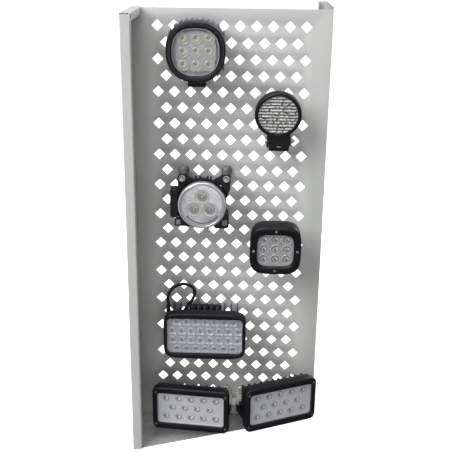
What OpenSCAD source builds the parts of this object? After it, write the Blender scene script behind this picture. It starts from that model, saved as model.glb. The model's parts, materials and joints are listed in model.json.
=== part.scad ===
// Free-standing perforated sheet-metal rack that carries seven adjustable work lamps.
// X runs to the right, Y to the back, Z up. The origin is on the floor, under the middle
// of the panel's front face.

/* [Rack] */
// Width of the rack over both cheeks
panel_w = 364; // [350:2:460]
// Height of the panel's top edge above the floor
panel_h = 843; // [833:2:1103]
// Thickness of the panel and of the cheeks
sheet_t = 1.5; // [1:0.1:2.5]
// Thickness of the base plate
base_t = 2; // [1.5:0.1:5]
// How far each cheek stands out from the panel's front face
cheek_depth = 136; // [110:2:200]
// Width of the strip along each cheek's outer edge
strip_w = 18; // [12:1:28]
// Depth of the folded lips
lip_d = 14; // [8:1:20]
// How far the right cheek rises above the panel
right_rise = 5; // [0:1:20]
// How far the left cheek rises above the panel
left_rise = 2; // [0:1:20]

/* [Perforation] */
// Distance between neighbouring holes of a row, and between rows
pitch = 30; // [28:1:33]
// Side of a square hole, which stands on its corner
hole_side = 15; // [13:0.5:18]
// Number of holes in a long row
long_row = 10; // [10:1:10]
// Height of the lowest row above the floor
first_row = 32; // [28:1:40]
// Least sheet left above the top row
top_margin = 20; // [14:1:40]

/* [Fasteners] */
// Diameter of the bolts that hold the brackets to the panel
mount_d = 8; // [6:0.5:10]
// Diameter of the pivot bolts
pivot_d = 6; // [5:0.2:8]
// Radial clearance of a pivot or mounting bolt in its bore
bore_gap = 0.08; // [0.05:0.01:0.1]
// Gap between faces that slide past each other
side_gap = 0.3; // [0.2:0.05:0.5]
// Thickness of the bracket steel
bracket_t = 3; // [2:0.5:4]

/* [Lamp build] */
// Thickness of the bezel lip in front of a lens
lip_t = 3; // [2:0.5:4]
// Thickness of a lens
lens_t = 3; // [2:0.5:4]
// How far a lens reaches behind the bezel lip
seat = 2; // [1:0.5:3]
// Gap round a lens and round a circuit board
fit_gap = 0.2; // [0.1:0.05:0.5]
// Thickness of a circuit board
board_t = 2; // [1:0.5:3]
// Thickness of a cooling fin
fin_t = 2; // [1.5:0.5:3]

/* [Top lamp] */
// Width and height of the top lamp
top_w = 104; // [98:1:120]
top_h = 103; // [97:1:120]
// Depth of the top lamp without its bezel
top_d = 50; // [45:1:56]

/* [Round lamp] */
// Diameter of the round lamp
round_dia = 83.5; // [78:0.5:95]

/* [Headlamp] */
// Diameter of the headlamp's lens
head_dia = 89.5; // [84:0.5:100]
// Length of the headlamp frame's legs
head_leg = 50; // [48:1:60]

/* [Square lamp] */
// Width and height of the square lamp
square_w = 96; // [92:1:112]
square_h = 100; // [94:1:112]

/* [Wide lamp] */
// Width and height of the wide lamp
wide_w = 160; // [150:1:170]
wide_h = 97.5; // [92:0.5:110]

/* [Corner lamps] */
// Width and height of the left and right lamps
corner_w = 154; // [148:1:158]
corner_h = 95; // [90:1:98]

/* [Hidden] */
$fn = 48;
eps = 1;

// Colours
sheet_grey = [0.77, 0.78, 0.77];
lamp_black = [0.09, 0.09, 0.10];
steel = [0.62, 0.61, 0.56];
clear = [0.85, 0.87, 0.9, 0.4];
silver = [0.8, 0.8, 0.82];

// A hole's place: half pitches to the right of the middle, and its row counted from below
function hole_at(half_cols, row) = [half_cols * pitch / 2, 0, first_row + row * pitch];
rows = floor((panel_h - first_row - top_margin) / pitch) + 1;

top_hole = hole_at(-4, 23);
round_hole = hole_at(6, 19);
head_holes = [hole_at(-6, 17), hole_at(0, 17)];
square_hole = hole_at(6, 13);
wide_hole = hole_at(-3, 6);
left_hole = hole_at(0, 1);
right_hole = hole_at(2, 1);

// Fasteners
mount_af = 1.6 * mount_d;
mount_head_h = 0.66 * mount_d;
mount_nut_h = 0.8 * mount_d;
pivot_af = 1.6 * pivot_d;
pivot_head_h = 0.66 * pivot_d;
pivot_nut_h = 0.8 * pivot_d;
washer_t = 1.6;
rear_washer_d = hole_side * sqrt(2) + 3;
thread_over = 3;
screw_d = 3;
screw_head_d = 6;
screw_head_h = 1.6;
screw_sink = 2;

// Brackets whose pivot bolt lies level: distance from the panel to the pivot, and the
// pivot's height above the mounting bolt
ear_r = 9;
top_reach = 42;
top_rise = -4.5;
round_reach = 40;
round_rise = 10;
rear_reach = 20;
rear_ear_r = 8;
top_lug = 25;
narrow_lug = 31;
wide_lug = 37;

// Brackets whose pivot bolt stands upright
strip_bracket_w = 15;
upright_reach = 35;
upright_drop = 20;
upright_lug_h = 16;
upright_ear_r = 11;
upright_lug_r = 10;

// Lamps: bezel depth, the depth of the board's front face, the thickness of the housing's
// floor, and the place of the pivot from the middle of the front face
bezel_d = 14;
board_y = 18;
floor_t = 4;
top_form = ["super", 2.45, 2.2];
top_window_form = ["super", 2.5, 2.45];
top_back_form = ["super", 2.65];
top_window = [82.5, 81];
top_window_rise = 0.6;
top_pivot = [0, 44, -57.3];
top_led_pitch = 22;

round_window = round_dia - 13.5;
round_tilt = 9;
round_pivot = [3.6, 29, -round_dia / 2 - 17];
round_foot_drop = 18;

square_form = ["super", 3.9];
square_window = [68, 66.5];
square_tilt = 7;
square_depth = 58;
square_pivot = [1, square_depth + 12.5, 1.5];
square_led_pitch = [21.4, 20.6];

wide_window = [147, 74];
wide_window_corner = 9;
wide_bezel_d = 20;
wide_depth = 60;
wide_pivot = [-2, wide_depth + 10, -18.7];
wide_cell = [18.2, 19.6];
wide_cell_rows = [7, 8, 8, 7];

corner_r = 12;
corner_window = [133.5, 68];
corner_window_r = 6;
corner_depth = 50;
corner_led_pitch = [25, 20.5];
corner_led_rows = [5, 4, 5];
left_yaw = -6;
left_pivot = [62.7, 77, -31];
right_yaw = 24;
right_pivot = [-49.2, 90, -45];

// Headlamp: its middle, and the places of its parts along Y from the lens's front face
head_x = -48.5;
head_z = hole_at(0, 17)[2] - 44;
head_front = -head_leg - 40;
head_screw_x = 41;
head_screw_off = 2.5;
head_screw_z = 44;
head_foot_x = 38;
head_foot_z = -40;
head_post_r = 8.5;
head_plate_t = 8;
head_body_r = 32;
head_pin_d = 6;
head_screw_d = 6;
head_rim_d = 12;
head_cup_r = 16.8;
head_cap_r = 8.6;

// Shapes drawn in the x-z plane and carried from depth y0 back to depth y1
module slab(y0, y1) {
    translate([0, y1, 0]) rotate([90, 0, 0]) linear_extrude(y1 - y0) children();
}

// Shapes drawn in the y-z plane and carried from x0 to x1
module side_slab(x0, x1) {
    translate([x0, 0, 0]) rotate([90, 0, 90]) linear_extrude(x1 - x0) children();
}

// A cylinder that lies along Y from y0 to y1
module rod_y(d, y0, y1) {
    slab(y0, y1) circle(d = d);
}

// A cylinder that lies along X from x0 to x1
module rod_x(d, x0, x1) {
    side_slab(x0, x1) circle(d = d);
}

function hex_d(across_flats) = across_flats / cos(30);

module rounded_rect(w, h, r) {
    square([w - 2 * r, h], center = true);
    square([w, h - 2 * r], center = true);
    for (sx = [-1, 1], sz = [-1, 1]) {
        translate([sx * (w / 2 - r), sz * (h / 2 - r)]) circle(r);
    }
}

// Points of a square with bulging sides: a higher power gives tighter corners, and the
// lower half can have a power of its own
function super_points(w, h, upper, lower, steps = 64) = [
    for (i = [0 : steps - 1])
        let (a = 360 * (i + 0.5) / steps, c = cos(a), s = sin(a), p = s < 0 ? lower : upper)
        [w / 2 * sign(c) * pow(abs(c), 2 / p), h / 2 * sign(s) * pow(abs(s), 2 / p)]
];

// The outline of a lamp's face
module face(size, form) {
    if (form[0] == "super")
        polygon(super_points(size[0], size[1], form[1], len(form) > 2 ? form[2] : form[1]));
    if (form[0] == "round") rounded_rect(size[0], size[1], form[1]);
    if (form[0] == "circle") circle(d = size[0], $fn = 96);
}

function grown(size, by) = [size[0] + 2 * by, size[1] + 2 * by];

// Places of the light sources: a square grid, and rows of different lengths
function square_grid(n, step) = [
    for (i = [0 : n - 1], j = [0 : n - 1])
        [(i - (n - 1) / 2) * step[0], (j - (n - 1) / 2) * step[1]]
];
function row_grid(counts, step) = [
    for (j = [0 : len(counts) - 1], i = [0 : counts[j] - 1])
        [(i - (counts[j] - 1) / 2) * step[0], ((len(counts) - 1) / 2 - j) * step[1]]
];
function corners(dx, dz) = [[-dx, -dz], [dx, -dz], [-dx, dz], [dx, dz]];

// ---- Rack ----

module hole_pattern() {
    for (row = [0 : rows - 1]) {
        count = long_row - row % 2;
        for (i = [0 : count - 1]) {
            translate([(i - (count - 1) / 2) * pitch, first_row + row * pitch])
                rotate(45) square(hole_side, center = true);
        }
    }
}

module perforated_panel() {
    color(sheet_grey) slab(0, sheet_t) difference() {
        translate([-panel_w / 2 + sheet_t, base_t])
            square([panel_w - 2 * sheet_t, panel_h - base_t]);
        hole_pattern();
    }
}

module base_plate() {
    half = panel_w / 2;
    color(sheet_grey) linear_extrude(base_t)
        polygon([[-half, -cheek_depth], [half, 0], [half, cheek_depth], [-half, 2 * sheet_t]]);
}

module left_cheek() {
    half = panel_w / 2;
    inner = strip_w - sheet_t;
    top = panel_h + left_rise;
    color(sheet_grey) {
        translate([-half, 0, base_t]) linear_extrude(top - base_t) {
            translate([0, -cheek_depth]) square([sheet_t, cheek_depth + 2 * sheet_t]);
            translate([0, -cheek_depth]) square([strip_w, sheet_t]);
            translate([inner, -cheek_depth]) square([sheet_t, lip_d]);
            translate([0, sheet_t]) square([strip_w, sheet_t]);
        }
        translate([-half, -cheek_depth, top - sheet_t]) cube([strip_w, cheek_depth, sheet_t]);
        translate([-half + inner, -cheek_depth, top - lip_d])
            cube([sheet_t, cheek_depth, lip_d]);
    }
}

module right_cheek() {
    half = panel_w / 2;
    color(sheet_grey) translate([half, 0, base_t]) {
        linear_extrude(panel_h + right_rise - base_t) {
            translate([-sheet_t, 0]) square([sheet_t, cheek_depth]);
            translate([-strip_w, cheek_depth - sheet_t]) square([strip_w, sheet_t]);
            translate([-strip_w, cheek_depth - lip_d]) square([sheet_t, lip_d]);
        }
        linear_extrude(panel_h - base_t) translate([-strip_w, sheet_t]) square([strip_w, sheet_t]);
    }
}

// Bolt, washers and nut through the panel at one hole, round a bracket foot
module mount_set(hole, front_washer) {
    front = -bracket_t - (front_washer ? washer_t : 0);
    rear = sheet_t + washer_t;
    translate(hole) {
        rod_y(mount_d, front, rear + mount_nut_h + thread_over);
        slab(front - mount_head_h, front) circle(d = hex_d(mount_af), $fn = 6);
        if (front_washer) slab(front, -bracket_t) washer_face(2 * mount_d + 1);
        slab(sheet_t, rear) washer_face(rear_washer_d);
        slab(rear, rear + mount_nut_h) difference() {
            circle(d = hex_d(mount_af), $fn = 6);
            circle(d = mount_d + 2 * bore_gap);
        }
    }
}

module washer_face(d) {
    difference() {
        circle(d = d);
        circle(d = mount_d + 2 * bore_gap);
    }
}

// Screw, washer and nut of the headlamp frame, seated in its ear
module head_screw(side) {
    front = -head_leg - head_plate_t;
    rear = sheet_t + washer_t;
    translate([head_x + head_screw_off + side * head_screw_x, 0, head_z + head_screw_z]) {
        rod_y(head_screw_d, front, rear + 0.8 * head_screw_d + thread_over);
        rod_y(2.6 * head_screw_d, front - 2, front);
        rod_y(1.6 * head_screw_d, front - 6, front - 2);
        slab(sheet_t, rear) difference() {
            circle(d = rear_washer_d + 6);
            circle(d = head_screw_d + 2 * bore_gap);
        }
        slab(rear, rear + 0.8 * head_screw_d) difference() {
            circle(d = hex_d(1.6 * head_screw_d), $fn = 6);
            circle(d = head_screw_d + 2 * bore_gap);
        }
    }
}

module panel_fasteners() {
    color(steel) {
        for (hole = [top_hole, round_hole, square_hole, wide_hole]) mount_set(hole, true);
        for (hole = [left_hole, right_hole]) mount_set(hole, false);
        for (side = [-1, 1]) head_screw(side);
    }
}

// ---- Brackets ----

// Foot against the panel and two ears, left and right, that hold a level pivot bolt
module level_bracket(hole, lug_w, reach, rise, ear) {
    inner = lug_w / 2 + side_gap;
    foot = 13;
    color(lamp_black) translate(hole) difference() {
        union() {
            slab(-bracket_t, 0) translate([-inner - bracket_t, -foot + min(rise, 0)])
                square([2 * (inner + bracket_t), 2 * foot + abs(rise)]);
            for (side = [-1, 1]) {
                x0 = side > 0 ? inner : -inner - bracket_t;
                side_slab(x0, x0 + bracket_t) {
                    translate([-reach, rise]) circle(ear);
                    translate([-reach, rise - ear]) square([reach, 2 * ear]);
                }
            }
        }
        rod_y(mount_d + 2 * bore_gap, -bracket_t - eps, eps);
        translate([0, -reach, rise])
            rod_x(pivot_d + 2 * bore_gap, -inner - bracket_t - eps, inner + bracket_t + eps);
    }
}

// Bolt and nut of a level pivot
module level_bolt(hole, lug_w, reach, rise) {
    outer = lug_w / 2 + side_gap + bracket_t;
    color(steel) translate(hole + [0, -reach, rise]) {
        rod_x(pivot_d, -outer, outer + pivot_nut_h + thread_over);
        side_slab(-outer - pivot_head_h, -outer) circle(d = hex_d(pivot_af), $fn = 6);
        side_slab(outer, outer + pivot_nut_h) difference() {
            circle(d = hex_d(pivot_af), $fn = 6);
            circle(d = pivot_d + 2 * bore_gap);
        }
    }
}

// Narrow foot and two flat ears, one above the other, that hold an upright pivot bolt
module upright_bracket(hole) {
    half = upright_lug_h / 2 + side_gap;
    r = upright_ear_r;
    foot_r = strip_bracket_w / 2 + 1;
    low = -upright_drop - half - bracket_t;
    color(lamp_black) translate(hole) difference() {
        union() {
            slab(-bracket_t, 0) {
                circle(foot_r);
                translate([-strip_bracket_w / 2, low]) square([strip_bracket_w, -low]);
                translate([-r, low]) square([2 * r, 2 * (half + bracket_t)]);
            }
            for (z0 = [low, -upright_drop + half]) {
                translate([0, 0, z0]) linear_extrude(bracket_t) {
                    translate([0, -upright_reach]) circle(r);
                    translate([-r, -upright_reach]) square([2 * r, upright_reach]);
                }
            }
        }
        rod_y(mount_d + 2 * bore_gap, -bracket_t - eps, eps);
        translate([0, -upright_reach, low - eps])
            cylinder(d = pivot_d + 2 * bore_gap, h = 2 * (half + bracket_t + eps));
    }
}

// Bolt and nut of an upright pivot
module upright_bolt(hole) {
    outer = upright_lug_h / 2 + side_gap + bracket_t;
    color(steel) translate(hole + [0, -upright_reach, -upright_drop]) {
        translate([0, 0, -outer - pivot_nut_h - thread_over])
            cylinder(d = pivot_d, h = 2 * outer + pivot_nut_h + thread_over);
        translate([0, 0, outer]) cylinder(d = hex_d(pivot_af), h = pivot_head_h, $fn = 6);
        translate([0, 0, -outer - pivot_nut_h]) difference() {
            cylinder(d = hex_d(pivot_af), h = pivot_nut_h, $fn = 6);
            translate([0, 0, -eps])
                cylinder(d = pivot_d + 2 * bore_gap, h = pivot_nut_h + 2 * eps);
        }
    }
}

// ---- Pieces shared by the lamps, in a lamp's own frame: the front face at y = 0 ----

// Front ring with a lip over the lens, holes for screws and sinks for their heads
module bezel_ring(outer, form, window, window_form, rise, depth, screws) {
    color(lamp_black) difference() {
        slab(0, depth) face(outer, form);
        slab(-eps, depth + eps) translate([0, rise]) face(window, window_form);
        slab(lip_t, depth + eps) translate([0, rise])
            face(grown(window, seat + fit_gap), window_form);
        for (p = screws) translate([p[0], 0, p[1]]) {
            rod_y(screw_d + 2 * fit_gap, -eps, depth + eps);
            rod_y(screw_head_d + 2 * fit_gap, -eps, screw_sink);
        }
    }
}

module lens_plate(window, form, rise) {
    color(clear) slab(lip_t, lip_t + lens_t) translate([0, rise]) face(grown(window, seat), form);
}

// Plate with one cup round each light source
module reflector_plate(window, form, rise, places, wide, narrow) {
    y0 = lip_t + lens_t;
    color(silver) difference() {
        slab(y0, board_y) translate([0, rise]) face(grown(window, seat), form);
        for (p = places) translate([p[0], y0, p[1] + rise]) rotate([-90, 0, 0])
            cylinder(d1 = wide, d2 = narrow, h = board_y - y0);
        for (p = places) translate([p[0], 0, p[1] + rise]) rod_y(narrow, y0, board_y + eps);
    }
}

// Circuit board with one emitter at each place
module led_board(window, form, rise, places, emitter) {
    color("darkolivegreen") {
        slab(board_y, board_y + board_t) translate([0, rise]) face(grown(window, seat), form);
        for (p = places) translate([p[0], 0, p[1] + rise]) {
            slab(board_y - 1, board_y) square(emitter, center = true);
        }
    }
}

// Housing cup behind the bezel: its cavity ends at the board's rear face
module housing_cup(outer, form, window, window_form, rise, depth, screws) {
    back = board_y + board_t + floor_t;
    difference() {
        slab(depth, max(back, depth + floor_t)) face(outer, form);
        slab(depth - eps, board_y + board_t) translate([0, rise])
            face(grown(window, seat + fit_gap), window_form);
        for (p = screws) translate([p[0], 0, p[1]]) rod_y(screw_d + 0.1, depth - eps, depth + 6);
    }
}

// Upright cooling fins that fill the given outline from y0 to y1
module fins(count, step, y0, y1, height) {
    intersection() {
        slab(y0, y1) children();
        for (i = [0 : count - 1]) {
            translate([(i - (count - 1) / 2) * step - fin_t / 2, y0 - eps, -height / 2])
                cube([fin_t, y1 - y0 + 2 * eps, height]);
        }
    }
}

module bezel_screws(places, depth) {
    color(silver) for (p = places) translate([p[0], 0, p[1]]) {
        rod_y(screw_head_d, screw_sink - screw_head_h, screw_sink);
        rod_y(screw_d, screw_sink, depth + 5);
    }
}

// ---- Top lamp: nine sources in a rounded square ----

module at_top_lamp() {
    translate(top_hole + [0, -top_reach, top_rise]) translate(-top_pivot) children();
}

top_leds = square_grid(3, [top_led_pitch, top_led_pitch]);
top_screws = corners(0.342 * top_w, 0.345 * top_h);
top_cup = [top_w - 4, top_h - 4];

module top_lamp_housing() {
    fin_y = board_y + board_t + floor_t;
    color(lamp_black) at_top_lamp() difference() {
        union() {
            housing_cup(top_cup, top_form, top_window, top_window_form, top_window_rise, bezel_d,
                top_screws);
            fins(11, top_w / 11, fin_y - eps, bezel_d + top_d, 2 * top_h)
                face([top_w + 3, top_h + 5], top_back_form);
            slab(fin_y - eps, bezel_d + top_d - 10)
                translate([0, 4]) face([top_w - 6, top_h - 11], top_back_form);
            slab(fin_y - eps, bezel_d + top_d - 16) circle(d = 0.5 * top_w);
            side_slab(-top_lug / 2, top_lug / 2) {
                translate([top_pivot[1], top_pivot[2]]) circle(ear_r);
                translate([top_pivot[1] - ear_r, top_pivot[2]])
                    square([2 * ear_r, -top_pivot[2] - 30]);
                translate([fin_y - eps, -top_h / 2 + 8])
                    square([top_pivot[1] - fin_y, 14]);
            }
        }
        translate([0, top_pivot[1], top_pivot[2]]) {
            rod_x(pivot_d + 2 * bore_gap, -narrow_lug, narrow_lug);
            for (side = [-1, 1])
                rod_x(hex_d(pivot_af) + 3, side > 0 ? top_lug / 2 : -narrow_lug,
                    side > 0 ? narrow_lug : -top_lug / 2);
        }
    }
}

module top_lamp_bezel() {
    at_top_lamp() bezel_ring([top_w, top_h], top_form, top_window, top_window_form,
        top_window_rise, bezel_d, top_screws);
}

module top_lamp_lens() {
    at_top_lamp() lens_plate(top_window, top_window_form, top_window_rise);
}

module top_lamp_reflectors() {
    at_top_lamp()
        reflector_plate(top_window, top_window_form, top_window_rise, top_leds, 20, 8);
}

module top_lamp_led_board() {
    at_top_lamp() led_board(top_window, top_window_form, top_window_rise, top_leds, 4);
}

module top_lamp_screws() {
    at_top_lamp() bezel_screws(top_screws, bezel_d);
}

module top_lamp_bracket() {
    level_bracket(top_hole, top_lug, top_reach, top_rise, ear_r);
}

module top_lamp_pivot_bolt() {
    level_bolt(top_hole, top_lug, top_reach, top_rise);
}

// ---- Round lamp ----

module at_round_lamp() {
    translate(round_hole + [0, -round_reach, round_rise]) rotate([round_tilt, 0, 0])
        translate(-round_pivot) children();
}

round_form = ["circle"];
round_size = [round_dia, round_dia];
round_win = [round_window, round_window];
round_leds = square_grid(2, [24, 24]);

module round_lamp_housing() {
    fin_y = board_y + board_t + floor_t;
    foot_x = round_pivot[0];
    foot_y = round_pivot[1];
    foot_z = round_pivot[2];
    color(lamp_black) at_round_lamp() difference() {
        union() {
            housing_cup(grown(round_size, -2), round_form, round_win, round_form, 0, bezel_d, []);
            fins(7, 9, fin_y - eps, fin_y + 28, 2 * round_dia) circle(d = round_dia - 18);
            rod_y(0.5 * round_dia, fin_y - eps, fin_y + 14);
            side_slab(foot_x - wide_lug / 2, foot_x + wide_lug / 2) {
                translate([foot_y - 11, foot_z - round_foot_drop + 4])
                    square([22, -foot_z - 28 + round_foot_drop]);
                translate([foot_y - 7, foot_z - round_foot_drop]) square([14, 13]);
                for (s = [-1, 1]) translate([foot_y + s * 7, foot_z - round_foot_drop + 4])
                    circle(4);
            }
        }
        translate([0, foot_y, foot_z])
            rod_x(pivot_d + 2 * bore_gap, foot_x - wide_lug, foot_x + wide_lug);
        slab(0, board_y + board_t) face(grown(round_win, seat + fit_gap), round_form);
    }
}

module round_lamp_bezel() {
    at_round_lamp() bezel_ring(round_size, round_form, round_win, round_form, 0, bezel_d, []);
}

module round_lamp_lens() {
    at_round_lamp() lens_plate(round_win, round_form, 0);
}

module round_lamp_led_board() {
    at_round_lamp() led_board(round_win, round_form, 0, round_leds, 5);
}

module round_lamp_bracket() {
    level_bracket(round_hole, wide_lug, round_reach, round_rise, ear_r);
}

module round_lamp_pivot_bolt() {
    level_bolt(round_hole, wide_lug, round_reach, round_rise);
}

// ---- Headlamp: a round unit that tips in a fixed frame ----

module at_headlamp() {
    translate([head_x, 0, head_z]) children();
}

head_plate_y = -head_leg - head_plate_t;
head_pin_y = head_plate_y + 18;
head_pin_z = head_foot_z;
head_flange_y = head_front + head_rim_d;
head_leds = [for (a = [90, 210, 330]) [head_cup_r * cos(a), head_cup_r * sin(a)]];

module headlamp_frame() {
    ring_in = head_body_r + 5;
    ring_out = head_dia / 2 - 1;
    color(lamp_black) at_headlamp() difference() {
        union() {
            slab(head_plate_y, -head_leg) difference() {
                union() {
                    circle(ring_out);
                    for (s = [-1, 1]) translate([head_screw_off, 0]) {
                        polygon([[s * 12, 38], [s * 40, 4], [s * 49, 30],
                            [s * 49.5, 46], [s * 44, 52.5], [s * 33, 52.5]]);
                    }
                    polygon([[12, -38], [40, -4], [49, -26], [49, -50], [45, -54], [22, -54]]);
                    polygon([[-12, -38], [-36, -4], [-46, -28], [-46, -34.5], [-53, -36],
                        [-54, -50], [-24, -51]]);
                    translate([-46.5, -22]) square([18, 34]);
                }
                circle(ring_in);
            }
            for (s = [-1, 1]) {
                translate([head_screw_off + s * head_screw_x, 0, head_screw_z])
                    rod_y(2 * head_post_r, head_plate_y, 0);
                translate([s * head_foot_x, 0, head_foot_z])
                    rod_y(2 * head_post_r, head_plate_y, 0);
            }
        }
        for (s = [-1, 1]) {
            translate([head_screw_off + s * head_screw_x, 0, head_screw_z])
                rod_y(head_screw_d + 0.4, head_plate_y - eps, eps);
            translate([0, head_pin_y, head_pin_z])
                rod_x(head_pin_d + 2 * bore_gap, s > 0 ? 28 : -48, s > 0 ? 48 : -28);
        }
    }
}

module headlamp_adjuster_caps() {
    r = head_cap_r;
    color("dimgray") at_headlamp() for (s = [-1, 1]) {
        translate([head_screw_off + s * (head_screw_x - 1), head_plate_y + r,
            head_screw_z + head_post_r]) {
            cylinder(r = r, h = 6.2);
            translate([0, 0, 6.2]) intersection() {
                sphere(r);
                cylinder(r = r + 1, h = r);
            }
        }
    }
}

module headlamp_driver_box() {
    color(lamp_black) at_headlamp() translate([-61.5, head_plate_y - 2, -33]) difference() {
        cube([15, 26, 55]);
        translate([2.5, 2.5, -eps]) cube([10, 21, 8]);
    }
}

module headlamp_housing() {
    arm_in = 20;
    arm_out = 29;
    color(lamp_black) at_headlamp() {
        difference() {
            union() {
                rod_y(head_dia, head_flange_y, head_flange_y + 4);
                translate([0, head_flange_y + 4, 0]) rotate([-90, 0, 0])
                    cylinder(r1 = head_dia / 2 - 2, r2 = head_body_r, h = 10);
                rod_y(2 * head_body_r, head_flange_y + 13, head_flange_y + 48);
            }
            rod_y(head_dia - 6, head_flange_y - eps, head_flange_y + 4);
            rod_y(2 * head_body_r - 8, head_flange_y + 20, head_flange_y + 40);
        }
        fins(6, 9, head_flange_y + 47, head_flange_y + 62, 3 * head_body_r) circle(head_body_r);
        for (s = [-1, 1]) {
            x0 = s > 0 ? arm_in : -arm_out;
            side_slab(x0, x0 + arm_out - arm_in) {
                translate([head_pin_y - 6, head_pin_z - 6]) square([12, 30]);
            }
            translate([0, head_pin_y, head_pin_z])
                rod_x(head_pin_d, s > 0 ? arm_out - 1 : -44, s > 0 ? 44 : -arm_out + 1);
        }
    }
}

module headlamp_lens() {
    color(clear) at_headlamp() difference() {
        rod_y(head_dia, head_front, head_flange_y);
        rod_y(head_dia - 6, head_front + 3, head_flange_y + eps);
    }
}

module headlamp_reflectors() {
    y0 = head_front + 3 + fit_gap;
    y1 = head_flange_y + 2;
    color(silver) at_headlamp() difference() {
        rod_y(head_dia - 6 - 2 * fit_gap, y0, y1);
        for (p = head_leds) translate([p[0], y0, p[1]]) rotate([-90, 0, 0])
            cylinder(d1 = 29, d2 = 12, h = y1 - y0);
        for (p = head_leds) translate([p[0], 0, p[1]]) rod_y(12, y0, y1 + eps);
    }
}

module headlamp_led_board() {
    y0 = head_flange_y + 2;
    color("darkolivegreen") at_headlamp() {
        rod_y(head_dia - 6 - 2 * fit_gap, y0, y0 + board_t);
        for (p = head_leds) translate([p[0], 0, p[1]]) slab(y0 - 1.5, y0) square(6, center = true);
    }
}

// ---- Square lamp: nine sources, bulging sides ----

module at_square_lamp() {
    translate(square_hole + [0, -rear_reach, 0]) rotate([square_tilt, 0, 0])
        translate(-square_pivot) children();
}

square_leds = square_grid(3, square_led_pitch);
square_window_form = ["super", 4.4];
square_screws = [[-0.427 * square_w, 0], [0.427 * square_w, 0],
    [0, -0.415 * square_h], [0, 0.415 * square_h]];

// Lug that reaches back from a housing to a level pivot bolt close to the panel
module rear_lug(pivot, from_y) {
    side_slab(pivot[0] - narrow_lug / 2, pivot[0] + narrow_lug / 2) {
        translate([pivot[1], pivot[2]]) circle(rear_ear_r);
        translate([from_y, pivot[2] - rear_ear_r]) square([pivot[1] - from_y, 2 * rear_ear_r]);
    }
}

module square_lamp_housing() {
    fin_y = board_y + board_t + floor_t + 12;
    color(lamp_black) at_square_lamp() difference() {
        union() {
            housing_cup([square_w - 2, square_h - 2], square_form, square_window,
                square_window_form, 0, bezel_d, square_screws);
            slab(board_y + board_t + floor_t - eps, fin_y)
                face([square_w - 2, square_h - 2], square_form);
            fins(8, 11, fin_y - eps, square_depth, 2 * square_h)
                translate([0, -5]) face([square_w - 10, square_h - 26], square_form);
            rear_lug(square_pivot, fin_y - eps);
        }
        translate([square_pivot[0], square_pivot[1], square_pivot[2]])
            rod_x(pivot_d + 2 * bore_gap, -narrow_lug, narrow_lug);
    }
}

module square_lamp_bezel() {
    at_square_lamp() bezel_ring([square_w, square_h], square_form, square_window,
        square_window_form, 0, bezel_d, square_screws);
}

module square_lamp_lens() {
    at_square_lamp() lens_plate(square_window, square_window_form, 0);
}

module square_lamp_reflectors() {
    at_square_lamp()
        reflector_plate(square_window, square_window_form, 0, square_leds, 18, 8);
}

module square_lamp_led_board() {
    at_square_lamp() led_board(square_window, square_window_form, 0, square_leds, 4);
}

module square_lamp_screws() {
    at_square_lamp() bezel_screws(square_screws, bezel_d);
}

module square_lamp_bracket() {
    level_bracket(square_hole, narrow_lug, rear_reach, 0, rear_ear_r);
}

module square_lamp_pivot_bolt() {
    level_bolt(square_hole, narrow_lug, rear_reach, 0);
}

// ---- Wide lamp: thirty cells in four rows, with its lead ----

module at_wide_lamp() {
    translate(wide_hole + [0, -rear_reach, 0]) translate(-wide_pivot) children();
}

wide_form = ["super", 6.5];
wide_window_form = ["round", wide_window_corner];
wide_leds = row_grid(wide_cell_rows, wide_cell);

module wide_lamp_housing() {
    fin_y = board_y + board_t + floor_t + 6;
    top = wide_h / 2 - 1.3;
    color(lamp_black) at_wide_lamp() difference() {
        union() {
            housing_cup([wide_w - 2, wide_h - 8], wide_form, wide_window, wide_window_form, 0,
                wide_bezel_d, []);
            slab(board_y + board_t + floor_t - eps, fin_y)
                face([wide_w - 6, wide_h - 14], wide_form);
            fins(11, 12.5, fin_y - eps, wide_depth, 2 * wide_h)
                face([wide_w - 24, 2 * top], ["round", 10]);
            translate([-33, wide_depth - 9, top - 17]) cube([63, 8, 13]);
            translate([-33, fin_y - eps, top - 18]) cube([63, wide_depth - fin_y, 2]);
            translate([-wide_w / 2, fin_y - eps, -4]) cube([11, wide_depth - fin_y + eps, 18]);
            rear_lug(wide_pivot, fin_y - eps);
        }
        translate([wide_pivot[0], wide_pivot[1], wide_pivot[2]])
            rod_x(pivot_d + 2 * bore_gap, -narrow_lug, narrow_lug);
    }
}

module wide_lamp_bezel() {
    at_wide_lamp() bezel_ring([wide_w, wide_h], wide_form, wide_window, wide_window_form, 0,
        wide_bezel_d, []);
}

module wide_lamp_lens() {
    at_wide_lamp() lens_plate(wide_window, wide_window_form, 0);
}

module wide_lamp_reflectors() {
    y0 = lip_t + lens_t;
    color(silver) at_wide_lamp() difference() {
        slab(y0, board_y) face(grown(wide_window, seat), wide_window_form);
        for (p = wide_leds) translate([p[0], 0, p[1]]) slab(y0 - eps, board_y + eps)
            square([wide_cell[0] - 1.6, wide_cell[1] - 2.6], center = true);
    }
}

module wide_lamp_led_board() {
    at_wide_lamp() led_board(wide_window, wide_window_form, 0, wide_leds, 3.5);
}

module wide_lamp_bracket() {
    level_bracket(wide_hole, narrow_lug, rear_reach, 0, rear_ear_r);
}

module wide_lamp_pivot_bolt() {
    level_bolt(wide_hole, narrow_lug, rear_reach, 0);
}

// The lead: it leaves the gland, loops over and hangs down behind the lamp to its connector.
// The points are measured from the bolt hole of the wide lamp's bracket.
cable_d = 6.2;
cable_route = [
    [-73, -37, 66], [-74, -35, 76], [-71, -29, 85], [-64, -23, 92], [-54, -18, 96],
    [-42, -15, 97], [-31, -14, 93], [-24, -14, 86], [-22, -14, 77], [-25, -15, 67],
    [-32, -16, 56], [-40, -16, 45], [-45, -16, 34], [-47, -16, 23], [-47, -16, 14]
];
cable_sides = 8;
cable_steps = 2;

function unit(v) = v / norm(v);
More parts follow.
